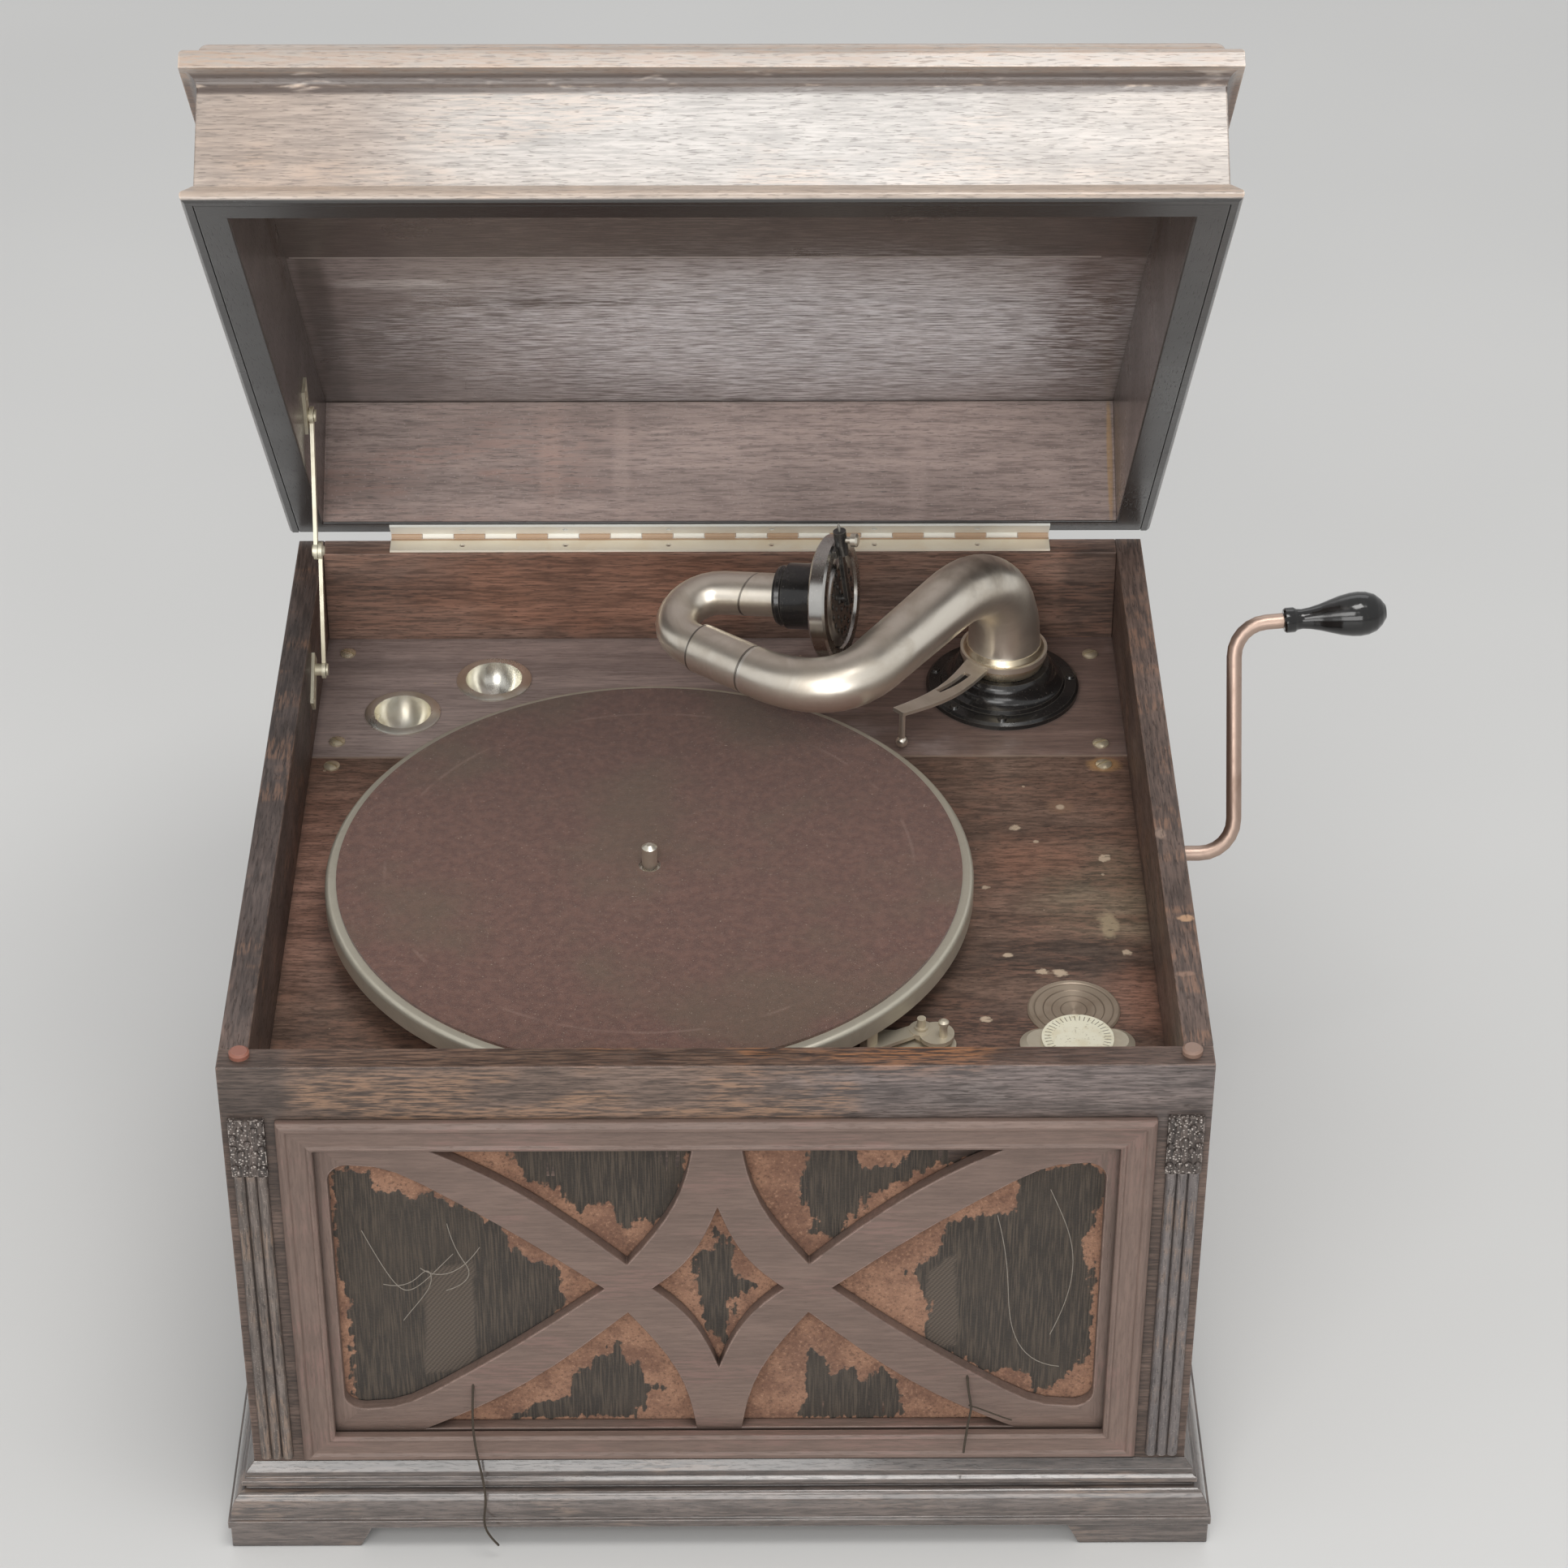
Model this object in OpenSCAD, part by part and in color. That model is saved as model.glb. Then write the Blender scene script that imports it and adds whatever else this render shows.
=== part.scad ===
// Table-top wind-up gramophone with an internal horn behind a fretted front.
// Millimetres. +Z is up, +X is to the right, the front faces -Y.
// Inside the modules y = 0 is the back face of the case and z = 0 the floor;
// to_frame() then puts the origin under the middle of the whole object's box.

/* [Case] */
// Width of the case across its side panels
case_w = 430; // [410:1:450]
// Depth of the case, front face to back face
case_d = 421; // [410:1:440]
// Height of the case boards, from their lower edges to the rim
case_h = 266.5; // [260:0.5:280]
// Thickness of the case boards
wall = 13; // [12:0.5:15]
// Depth of the deck below the rim
recess = 52; // [48:1:56]
// Thickness of the two deck boards
board_t = 12; // [10:0.5:14]
// Distance from the back face to the joint between the deck boards
board_split = 118.4; // [112:0.5:124]
// Open joint between the deck boards
board_gap = 0.6; // [0.3:0.1:1]
// Thickness of the bottom board
bottom_t = 8; // [6:0.5:10]
// Width and height of the ledges that carry the deck boards
ledge = 12; // [8:1:14]

/* [Plinth and feet] */
// Height of the plinth moulding
plinth_h = 31.5; // [30:0.5:36]
// How far the plinth stands out beyond the case
plinth_out = 13; // [12:0.5:16]
// Height of the bracket feet
foot_h = 12.5; // [10:0.5:16]
// Length of a foot along the front
foot_len = 66; // [50:1:80]
// Length of a foot along the side
foot_side = 50; // [40:1:70]
// Slope taken off the inner end of each foot
foot_slope = 6; // [3:0.5:10]

/* [Front] */
// Width of the front panel's stile on each side of the fretted panel's recess
stile_face = 39; // [37:1:43]
// Height of the recess that holds the fretted panel
grille_h = 172; // [166:1:178]
// Height of the recess above the lower edges of the case boards
grille_z = 50; // [48:0.5:54]
// Face width of the raised moulding round the recess
frame_w = 15.5; // [13:0.5:16]
// How far that moulding stands in front of the case
frame_out = 5; // [3:0.5:7]
// Thickness of the fretted panel
fret_t = 6; // [4:0.5:7]
// How far the fretted panel lies behind the front face of the case
fret_back = 1.5; // [0.5:0.5:2]
// Border above and below the side openings of the fret
fret_rail = 12.5; // [11:0.5:15]
// Border beside those openings
fret_border = 5; // [4:0.5:7]
// Thickness of the grille cloth
cloth_t = 1; // [0.6:0.1:1.2]
// Radius of a reed on the stiles beside the grille
reed_r = 2.6; // [2:0.1:3]
// Number of reeds on a stile
reeds = 3; // [2:1:3]
// Height of the carved block above the reeds
carving_h = 32; // [28:1:36]
// How far the carved blocks stand out
carving_out = 2; // [1.5:0.1:3]

/* [Lid] */
// Angle at which the stay holds the lid open
lid_open = 51; // [49:0.5:53]
// Gap between the rims when the lid is shut
rim_gap = 3; // [2.6:0.1:3.4]
// Thickness of the lid walls
lid_wall = 13.5; // [12:0.5:15]
// Clear depth inside the lid
lid_depth = 66; // [64:0.5:72]
// Thickness of the lid's top board
lid_top_t = 9; // [8:0.5:12]
// How far the bead along the lip stands out
bead_out = 5; // [3:0.5:6]
// Height of the bead along the lip
bead_h = 9; // [7:0.5:11]
// Height of the moulding under the lid's top edge
cornice_h = 16; // [14:0.5:18]
// How far that moulding stands out
cornice_out = 7; // [5:0.5:9]
// Radius of the rounded edge of the top board
top_round = 6; // [3:0.5:8]
// Diameter of the rubber buffers on the rim
buffer_d = 9; // [7:0.5:11]
// Clearance between a buffer and the shut lid
buffer_gap = 0.3; // [0.2:0.1:0.6]

/* [Hinge and stay] */
// Length of the continuous hinge
hinge_len = 336; // [300:1:350]
// Number of hinge knuckles, an odd count
knuckles = 21; // [17:2:25]
// Outer radius of a knuckle
knuckle_r = 1.9; // [1.7:0.05:1.95]
// Radius of the hinge pin
hinge_pin_r = 1; // [0.8:0.05:1.1]
// How far the hinge axis lies behind the back face
hinge_back = 1.6; // [1.5:0.05:2]
// Width of each hinge leaf
leaf_w = 11.5; // [9:0.5:12]
// Thickness of each hinge leaf
leaf_t = 1.1; // [0.9:0.05:1.2]
// Distance of the stay's case pivot in front of the back face
stay_case_y = 89.3; // [86:0.1:93]
// Depth of that pivot below the rim
stay_case_z = 19; // [17:0.5:22]
// Distance of the stay's lid pivot in front of the back face, lid shut
stay_lid_y = 105.8; // [103:0.1:109]
// Height of that pivot above the case rim, lid shut
stay_lid_z = 27.4; // [25:0.1:30]
// Length of the lower stay arm between its pivots
stay_lower_len = 60.5; // [58:0.1:63]
// Width of the upper stay arm
stay_upper_w = 5.4; // [4:0.2:7]
// Width of the lower stay arm
stay_lower_w = 4; // [3:0.2:6]
// Thickness of a stay arm
stay_t = 1.8; // [1.4:0.1:2]
// Radius of the stay's pivot pins
stay_pin_r = 1.6; // [1.2:0.1:2]

/* [Turntable] */
// Clearance between the turntable and the left side panel
platter_side = 18.6; // [14:0.2:22]
// Clearance between the turntable and the front panel
platter_front = 11.6; // [8:0.2:14]
// Radius of the turntable
platter_r = 151.4; // [146:0.2:153]
// Height of the turntable's upper face above the deck
platter_up = 26.5; // [24:0.5:29]
// Depth of the turntable's rim
skirt_h = 10; // [8:0.5:14]
// Thickness of the turntable's sheet
platter_t = 2.5; // [2:0.1:4]
// Bare metal rim left outside the felt
felt_inset = 5.4; // [3:0.2:8]
// Thickness of the felt
felt_t = 1.5; // [1:0.1:2.5]
// Radius of the spindle where a record seats
spindle_r = 3.6; // [3.5:0.05:3.7]
// Height of the spindle above the felt
spindle_tip = 12; // [10:0.5:14]
// Radius of the spindle below the turntable
spindle_shaft_r = 5; // [4.5:0.1:5.5]
// Radius of the hole in the felt
felt_hole_r = 5.2; // [4.6:0.1:7]

/* [Tone arm] */
// Distance of the tone-arm pivot from the right side panel
arm_side = 59; // [56:1:62]
// Distance of the tone-arm pivot in front of the back face
arm_y = 58; // [56:1:60]
// Radius of the black base flange
base_r = 38.6; // [36:0.2:40]
// Height of the black base
base_h = 16; // [15:0.5:18]
// Radius of the neck of the base
neck_r = 26; // [24:0.5:27]
// Radius of the sound passage through the base
bore_r = 13; // [11:0.5:14]
// Height of the nickel collar
collar_h = 12; // [10:0.5:14]
// Radius of the arm tube at its foot
arm_r0 = 18.5; // [17:0.5:20]
// Radius of the arm tube at the gooseneck
arm_r1 = 12.2; // [11.8:0.1:13]
// Wall of the arm tube
tube_t = 1.2; // [0.8:0.1:1.6]
// Height of the gooseneck pivot above the deck
swan_up = 60; // [58:0.5:63]
// Distance of the gooseneck pivot left of the tone-arm pivot
swan_left = 127.5; // [124:0.5:131]
// Distance of the gooseneck pivot in front of the tone-arm pivot
swan_front = 72.2; // [69:0.2:75]
// Compass angle of the gooseneck's turning axis
swan_az = 140.2; // [137:0.1:143]
// Fall of that axis
swan_fall = 1.8; // [0:0.1:3]
// Roll of the gooseneck about its axis, thrown back
swan_roll = 164.7; // [162:0.1:167]
// Length of the gooseneck's sleeve
swan_sleeve = 38.2; // [36:0.2:40]
// Bend radius of the gooseneck
swan_bend = 18.7; // [18:0.1:19.5]
// Angle through which the gooseneck bends
swan_turn = 156.4; // [154:0.2:159]
// Distance from the end of the bend to the middle of the sound box
swan_reach = 56.3; // [54:0.1:59]
// Radius of the gooseneck tube
swan_r = 10.8; // [10:0.1:11.2]
// Running gap between the arm tube and the gooseneck's sleeve
swivel_gap = 0.3; // [0.2:0.05:0.6]

/* [Sound box] */
// Radius of the sound box
box_r = 31; // [29:0.5:32]
// Thickness of the sound box's metal case
box_t = 12; // [10:0.5:14]
// Radius of the perforated grille
box_grille_r = 22; // [20:0.5:24]
// Distance from the sound box's middle to the needle point
needle_reach = 43.5; // [42.5:0.1:44]
// Radius of the steel needle
needle_r = 0.8; // [0.6:0.1:1]
// Radius of the needle holder's bore
chuck_r = 1.6; // [1.4:0.1:1.8]

/* [Crank] */
// Distance of the crank axis behind the spindle
crank_behind = 83; // [80:0.5:86]
// Depth of the crank axis below the rim
crank_z = 80; // [79:0.5:83]
// Radius of the crank rod
rod_r = 3.7; // [3.2:0.1:4]
// Throw of the crank
crank_throw = 112; // [100:1:120]
// Lean of the crank arm towards the back
crank_lean = 33; // [25:1:40]
// Distance of the crank arm beyond the side panel
crank_arm_out = 37.5; // [34:0.5:41]
// Bend radius of the crank rod
crank_bend = 17; // [14:0.5:20]
// Distance from the crank arm to the grip
grip_start = 24; // [21:0.5:27]
// Length of the grip
grip_len = 50.5; // [45:0.5:56]
// Largest radius of the grip
grip_r = 11; // [9:0.5:12]

/* [Deck fittings] */
// Radius of a needle cup's flange
cup_r = 19; // [17:0.5:20]
// Radius of a needle cup's bowl
cup_bowl_r = 15.5; // [13:0.5:16]
// Distance of the front cup from the left side panel
cup1_side = 42.5; // [41:0.5:45]
// Distance of the front cup in front of the back face
cup1_y = 80.5; // [76:0.5:85]
// Distance of the rear cup from the left side panel
cup2_side = 87; // [84:0.5:92]
// Distance of the rear cup in front of the back face
cup2_y = 51; // [46:0.5:54]
// The brake's pivot lies towards a point this far from the right side panel
brake_side = 59; // [57:0.5:61]
// and this far from the front panel
brake_front = 29.9; // [28:0.1:32]
// Gap between the brake pad and the turntable's rim
brake_gap = 0.4; // [0.3:0.1:1]
// Distance of the speed regulator from the right side panel
speed_side = 40; // [38:0.5:42]
// Distance of the speed regulator from the front panel
speed_front = 58; // [56:0.5:60]
// Distance from the regulator's middle to the tip of its lobes
speed_r = 26; // [24:0.5:26]
// Radius of the regulator's dial
dial_r = 16.3; // [14:0.1:17]
// Radius of the nickel dish behind the regulator
dish_r = 21.2; // [18:0.1:22]

/* [Motor] */
// Thickness of the motor plates
plate_t = 3; // [2.5:0.5:4]
// Clear height between the motor plates
motor_gap = 81; // [80:0.5:84]
// Radius of the spring barrel
barrel_r = 42; // [38:0.5:44]
// Height of the spring barrel
barrel_h = 36; // [32:0.5:38]
// Distance of the spring barrel's axis right of the spindle
barrel_right = 77; // [75:0.5:79]
// Turns of mainspring shown in the barrel
spring_turns = 9; // [6:1:12]
// Radius of the governor disc
gov_disc_r = 14; // [12:0.5:15]

/* [Hidden] */
$fn = 64;

// Levels and faces shared by many pieces
touch_gap = 0.3;
run_gap = 0.05;
rim_z = foot_h + case_h;
deck_z = rim_z - recess;
under_z = deck_z - board_t;
front_y = -case_d;
in_x = case_w / 2 - wall;
in_front = front_y + wall;
spindle_at = [platter_side + platter_r - in_x, in_front + platter_front + platter_r];
arm_at = [in_x - arm_side, -arm_y];
speed_at = [in_x - speed_side, in_front + speed_front];
hinge_at = [0, hinge_back, rim_z + rim_gap / 2];

// Lid sizes
lid_front = front_y;
lid_h = lid_depth + lid_top_t;
lid_half = case_w / 2;
cornice_z = lid_h - lid_top_t + 3 - cornice_h;

// Extent of the whole object, for the origin under the middle of its box
function lid_turn(y, z) = [
  hinge_at[1] + (y - hinge_at[1]) * cos(lid_open) + (z - hinge_at[2]) * sin(lid_open),
  hinge_at[2] - (y - hinge_at[1]) * sin(lid_open) + (z - hinge_at[2]) * cos(lid_open)
];
grip_tilt = 5;
crank_axis = [spindle_at[1] + crank_behind, rim_z - crank_z];
arm_dir = [sin(crank_lean), cos(crank_lean)];
grip_dir = [cos(grip_tilt), sin(grip_tilt) * arm_dir[0], sin(grip_tilt) * arm_dir[1]];
arm_plane_x = case_w / 2 + crank_arm_out;
grip_at = [arm_plane_x, crank_axis[0] + crank_throw * arm_dir[0], crank_axis[1] + crank_throw * arm_dir[1]];
grip_tip_r = grip_r - 7.5;
box_right = grip_at[0] + (grip_start + grip_len) * grip_dir[0] + grip_tip_r * sin(grip_tilt);
box_left = -(case_w / 2 + plinth_out);
box_front = front_y - plinth_out;
box_back = lid_turn(-top_round, rim_z + rim_gap + lid_h - top_round)[0] + top_round;

module to_frame() {
  translate([-(box_left + box_right) / 2, -(box_front + box_back) / 2, 0]) children();
}

module lid_pose() {
  translate(hinge_at) rotate([-lid_open, 0, 0]) translate(-hinge_at) children();
}

// Box given by its two corners
module block(low, high) {
  translate(low) cube(high - low);
}

// Tube wall or disc along Z
module ring(r_out, r_in, h) {
  difference() {
    cylinder(r = r_out, h = h);
    if (r_in > 0) translate([0, 0, -1]) cylinder(r = r_in, h = h + 2);
  }
}

// Profile in y and z run along X, and profile in x and z run along Y
module run_x(x0, x1) {
  translate([x0, 0, 0]) rotate([90, 0, 90]) linear_extrude(height = x1 - x0) children();
}
module run_y(y0, y1) {
  translate([0, y1, 0]) rotate([90, 0, 0]) linear_extrude(height = y1 - y0) children();
}

// Points of an arc from angle a0 to a1
function arc(c, r, a0, a1, n = 8) = [
  for (i = [0:n]) [c[0] + r * cos(a0 + (a1 - a0) * i / n), c[1] + r * sin(a0 + (a1 - a0) * i / n)]
];

// Smooth tube along points, with its radius for each point
function unit(v) = v / norm(v);
function path_dir(p, i) = unit(p[min(i + 1, len(p) - 1)] - p[max(i - 1, 0)]);
function carry(n, t) = unit(n - (n * t) * t);
function normals(p, n0) = [
  for (i = 0, n = carry(n0, path_dir(p, 0)); i < len(p); i = i + 1, n = i < len(p) ? carry(n, path_dir(p, i)) : n) n
];
function ring_points(c, t, n, r, sides) = [
  for (k = [0:sides - 1]) c + r * (cos(360 * k / sides) * n + sin(360 * k / sides) * cross(t, n))
];
function skin(rings, sides) = [
  for (i = [0:rings - 2], k = [0:sides - 1], h = [0, 1])
    let (a = i * sides + k, b = i * sides + (k + 1) % sides)
      h == 0 ? [a, b + sides, b] : [a, a + sides, b + sides]
];
module tube_along(p, radii, n0, sides = 24) {
  n = normals(p, n0);
  pts = [for (i = [0:len(p) - 1]) each ring_points(p[i], path_dir(p, i), n[i], radii[i], sides)];
  ends = [[for (k = [0:sides - 1]) k], [for (k = [sides - 1:-1:0]) (len(p) - 1) * sides + k]];
  polyhedron(pts, concat(skin(len(p), sides), ends), convexity = 6);
}
function bezier(a, b, c, d, t) =
  pow(1 - t, 3) * a + 3 * pow(1 - t, 2) * t * b + 3 * (1 - t) * t * t * c + pow(t, 3) * d;

// Case boards

module back_panel() {
  color("saddlebrown") block([-in_x, -wall, foot_h], [in_x, 0, rim_z]);
}

module left_side() {
  color("saddlebrown") block([-case_w / 2, in_front, foot_h], [-in_x, 0, rim_z]);
}

bush_r = 6;
bush_flange_r = 14;
module right_side() {
  color("saddlebrown") difference() {
    block([in_x, in_front, foot_h], [case_w / 2, 0, rim_z]);
    translate([in_x - 1, crank_axis[0], crank_axis[1]]) rotate([0, 90, 0]) cylinder(r = bush_r, h = wall + 2);
  }
}

// Front board with a rebate for the fretted panel and an opening for the horn
grille_w = case_w - 2 * stile_face;
grille_low = foot_h + grille_z;
grille_high = grille_low + grille_h;
rebate_y = front_y + fret_back + fret_t + cloth_t;
fret_lap = 6;
fret_half = grille_w / 2 + fret_lap;
mouth_half = grille_w / 2 - 12;
mouth_low = grille_low + 10;
mouth_high = under_z - 6;
module front_panel() {
  color("saddlebrown") difference() {
    block([-case_w / 2, front_y, foot_h], [case_w / 2, in_front, rim_z]);
    block([-fret_half, front_y - 1, grille_low - fret_lap], [fret_half, rebate_y, grille_high + fret_lap]);
    block([-mouth_half, front_y, mouth_low], [mouth_half, in_front + 1, mouth_high]);
  }
}

module bottom_board() {
  color("peru") block([-in_x, in_front, foot_h], [in_x, -wall, foot_h + bottom_t]);
}

// Plinth profile as distance out from the case against height
function plinth_steps() = concat(
  [[0, 0], [plinth_out - 0.5, 0], [plinth_out, 0.5], [plinth_out, 4.5], [plinth_out - 1.5, 5]],
  [for (a = [0:15:90]) [5.5 + (plinth_out - 7) * cos(a), 5.5 + (plinth_h - 19) * sin(a)]],
  [[4, plinth_h - 13.5], [4, plinth_h - 11.5], [6, plinth_h - 10.5], [6, plinth_h - 8], [4, plinth_h - 7],
   [4, plinth_h - 4], [0, plinth_h]]
);
module plinth() {
  steps = plinth_steps();
  color("saddlebrown") difference() {
    intersection() {
      run_y(front_y - plinth_out - 1, 0) polygon(concat(
        [for (s = steps) [case_w / 2 + s[0], foot_h + s[1]]],
        [for (i = [len(steps) - 1:-1:0]) [-case_w / 2 - steps[i][0], foot_h + steps[i][1]]]
      ));
      run_x(-case_w, case_w) polygon(concat([for (s = steps) [front_y - s[0], foot_h + s[1]]], [[0, foot_h + plinth_h], [0, foot_h]]));
    }
    block([-case_w / 2, front_y, 0], [case_w / 2, 1, rim_z]);
  }
}

// Bracket feet, one at each corner, with sloped inner ends
foot_in = 16;
module feet() {
  edge_x = case_w / 2 + plinth_out - 1;
  edge_y = front_y - plinth_out + 1;
  color("saddlebrown") for (side = [0, 1]) mirror([side, 0, 0]) translate([-edge_x, 0, 0]) {
    for (y = [edge_y, -foot_in]) run_y(y, y + foot_in)
      polygon([[0, 0], [foot_len - foot_slope, 0], [foot_len, foot_h], [0, foot_h]]);
    run_x(0, foot_in) polygon([[edge_y, 0], [edge_y + foot_side - foot_slope, 0], [edge_y + foot_side, foot_h], [edge_y, foot_h]]);
    run_x(0, foot_in) polygon([[foot_slope - foot_side, 0], [0, 0], [0, foot_h], [-foot_side, foot_h]]);
  }
}

// Raised moulding round the fretted panel
function frame_steps() = [[0, 0], [0, frame_out - 2], [2, frame_out], [4, frame_out], [5, frame_out - 1.2],
  [frame_w - 3, frame_out - 1.2], [frame_w - 2, frame_out], [frame_w, frame_out - 1], [frame_w, 0]];
module frame_bar(len) {
  intersection() {
    run_x(-len / 2, len / 2) polygon([for (s = frame_steps()) [-s[1], s[0]]]);
    run_y(-frame_out - 1, 1) polygon([[-len / 2, 0], [len / 2, 0], [0, len / 2]]);
  }
}
module grille_frame() {
  len_x = grille_w + 2 * frame_w;
  len_z = grille_h + 2 * frame_w;
  color("rosybrown") translate([0, front_y, fret_mid]) for (a = [0, 180]) rotate([0, a, 0]) {
    translate([0, 0, -len_z / 2]) frame_bar(len_x);
    rotate([0, 90, 0]) translate([0, 0, -len_x / 2]) frame_bar(len_z);
  }
}

// Fretted panel: a diamond in the middle, triangles above and below, a D at each side.
// The openings are what is left between two crossing S-shaped bands.
diamond = [29.5, 48];
node_at = [40.7, 14.5];
d_tip = 51;
d_shoulder = [grille_w / 2 - 46, grille_h / 2 - fret_rail - 11];
top_far = grille_w / 2 - 42;
top_near = 10.5;
fret_mid = (grille_low + grille_high) / 2;
function bowed(a, b, bow, n = 8) = [for (i = [0:n]) a + (b - a) * i / n + bow * sin(180 * i / n)];
function upside(pts) = [for (i = [len(pts) - 1:-1:0]) [pts[i][0], -pts[i][1]]];
module fret_diamond() {
  right = bowed([0, diamond[1]], [diamond[0], 0], [-3, -4]);
  half = concat(right, upside(right));
  polygon(concat(half, [for (i = [len(half) - 1:-1:0]) [-half[i][0], half[i][1]]]));
}
module fret_triangle() {
  top = grille_h / 2;
  polygon(concat(
    bowed([top_near, top], node_at, [-6.5, 0]),
    bowed(node_at, [top_far, top], [0, 7])
  ));
}
module fret_d() {
  far = grille_w / 2 - fret_border;
  high = grille_h / 2 - fret_rail;
  half = concat(
    bowed([d_tip, 0], d_shoulder, [0, 2]),
    [d_shoulder + [11, high - d_shoulder[1] - 4.3], d_shoulder + [20, high - d_shoulder[1] - 1]],
    arc([far - 9, high - 9], 9, 90, 0)
  );
  polygon(concat(half, upside(half)));
}
module fretwork() {
  color("rosybrown") translate([0, front_y + fret_back + fret_t, fret_mid]) rotate([90, 0, 0])
    linear_extrude(height = fret_t) difference() {
      square([2 * fret_half, grille_h + 2 * fret_lap], center = true);
      fret_diamond();
      for (mx = [0, 1]) mirror([mx, 0]) {
        fret_d();
        for (my = [0, 1]) mirror([0, my]) fret_triangle();
      }
    }
}

module grille_cloth() {
  color("peru") block([-fret_half, front_y + fret_back + fret_t, grille_low - fret_lap],
    [fret_half, rebate_y, grille_high + fret_lap]);
}

// Low reeds on the stiles, cut off flush with the front face
column_x = case_w / 2 - 11;
column_low = foot_h + plinth_h + 3;
column_high = rim_z - 60;
reed_pitch = 2 * reed_r - 0.3;
module front_half(depth, h) {
  intersection() {
    children();
    block([-20, -depth, 0], [20, 0, h]);
  }
}
module reeded_stiles() {
  h = column_high - column_low;
  color("saddlebrown") for (s = [-1, 1]) translate([s * column_x, front_y, column_low]) front_half(reed_r + 1, h)
    for (i = [0:reeds - 1]) translate([(i - (reeds - 1) / 2) * reed_pitch, 0, 0]) cylinder(r = reed_r, h = h, $fn = 32);
}

// Carved blocks above the reeds: a thin block with rows of beads
block_half = (reeds * reed_pitch + 1) / 2;
bead_r = 1.7;
function bead_rows() = [[-1, 1], [0, 1], [1, 1], [-0.5, 0.86], [0.5, 0.86], [-1, 0.72], [1, 0.72], [0, 0.6], [-1, 0.5],
  [1, 0.5], [-0.5, 0.4], [0.5, 0.4], [-1, 0.12], [-0.33, 0.12], [0.33, 0.12], [1, 0.12]];
module carved_blocks() {
  span = block_half - bead_r;
  color("saddlebrown") for (s = [-1, 1]) translate([s * column_x, front_y, column_high]) {
    block([-block_half, -carving_out, 0], [block_half, 0, carving_h]);
    for (b = bead_rows()) translate([b[0] * span, -carving_out, bead_r + b[1] * (carving_h - 2 * bead_r)])
      sphere(r = bead_r, $fn = 24);
  }
}

// Deck boards with their holes

// Offsets of the motor bolts from the spindle
bolt_offsets = [[-50, -26], [60, -40], [118, 20], [-50, 108]];
function motor_bolt(i) = spindle_at + bolt_offsets[i];
bolt_r = 2.5;
spindle_hole_r = 9;
module front_deck() {
  color("sienna") difference() {
    block([-in_x, in_front, under_z], [in_x, -board_split - board_gap, deck_z]);
    translate([spindle_at[0], spindle_at[1], under_z - 1]) cylinder(r = spindle_hole_r, h = board_t + 2);
    for (i = [0:3]) translate([motor_bolt(i)[0], motor_bolt(i)[1], under_z - 1]) cylinder(r = bolt_r, h = board_t + 2);
    translate([speed_at[0], speed_at[1], under_z - 1]) cylinder(r = 3 + run_gap, h = board_t + 2, $fn = 32);
    for (p = front_screws()) translate([p[0], p[1], under_z - 1]) cylinder(r = screw_r, h = board_t + 2);
  }
}

cup_t = 1.2;
cup_at = [[cup1_side - in_x, -cup1_y], [cup2_side - in_x, -cup2_y]];
module rear_deck() {
  color("rosybrown") difference() {
    block([-in_x, -board_split, under_z], [in_x, -wall, deck_z]);
    for (c = cup_at) translate([c[0], c[1], under_z - 1]) cylinder(r = cup_bowl_r + touch_gap, h = board_t + 2);
    translate([arm_at[0], arm_at[1], under_z - 1]) cylinder(r = bore_r + 4, h = board_t + 2);
    for (p = rear_screws()) translate([p[0], p[1], under_z - 1]) cylinder(r = screw_r, h = board_t + 2);
  }
}

// Ledges glued inside the case walls under the deck boards
module deck_ledges() {
  low = under_z - ledge;
  color("peru") {
    for (s = [0, 1]) mirror([s, 0, 0]) difference() {
      block([-in_x, in_front, low], [-in_x + ledge, -wall, under_z]);
      for (p = concat(rear_screws(), front_screws())) translate([p[0] * (s == 0 ? 1 : -1), p[1], low - 1])
        cylinder(r = screw_r, h = ledge + 2);
    }
    block([-in_x + ledge, -wall - ledge, low], [in_x - ledge, -wall, under_z]);
  }
}

// Wood screws that hold the deck boards to the ledges
screw_r = 2;
screw_head_r = 4;
screw_edge = 11.5;
function rear_screws() = [
  [-in_x + screw_edge - 0.5, -wall - 13.5], [-in_x + screw_edge, -board_split + 13.3],
  [in_x - screw_edge - 1, -wall - 15.9], [in_x - screw_edge - 1, -board_split + 10]
];
function front_screws() = [
  [-in_x + screw_edge - 1, -board_split - 7.6], [in_x - screw_edge - 0.7, -board_split - 8],
  [-in_x + screw_edge - 1, in_front + 20], [in_x - screw_edge - 0.7, in_front + 20]
];
module wood_screw() {
  difference() {
    union() {
      translate([0, 0, 0]) cylinder(r = screw_head_r, h = 0.8);
      translate([0, 0, 0.8]) cylinder(r1 = screw_head_r, r2 = screw_head_r * 0.55, h = 0.9);
      translate([0, 0, -board_t - 8]) cylinder(r = screw_r - run_gap, h = board_t + 8);
    }
    block([-screw_head_r, -0.5, 0.8], [screw_head_r, 0.5, 3]);
  }
}
module deck_screws() {
  color("silver") for (p = concat(rear_screws(), front_screws()))
    translate([p[0], p[1], deck_z]) rotate([0, 0, p[0] * 3]) wood_screw();
}

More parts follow.
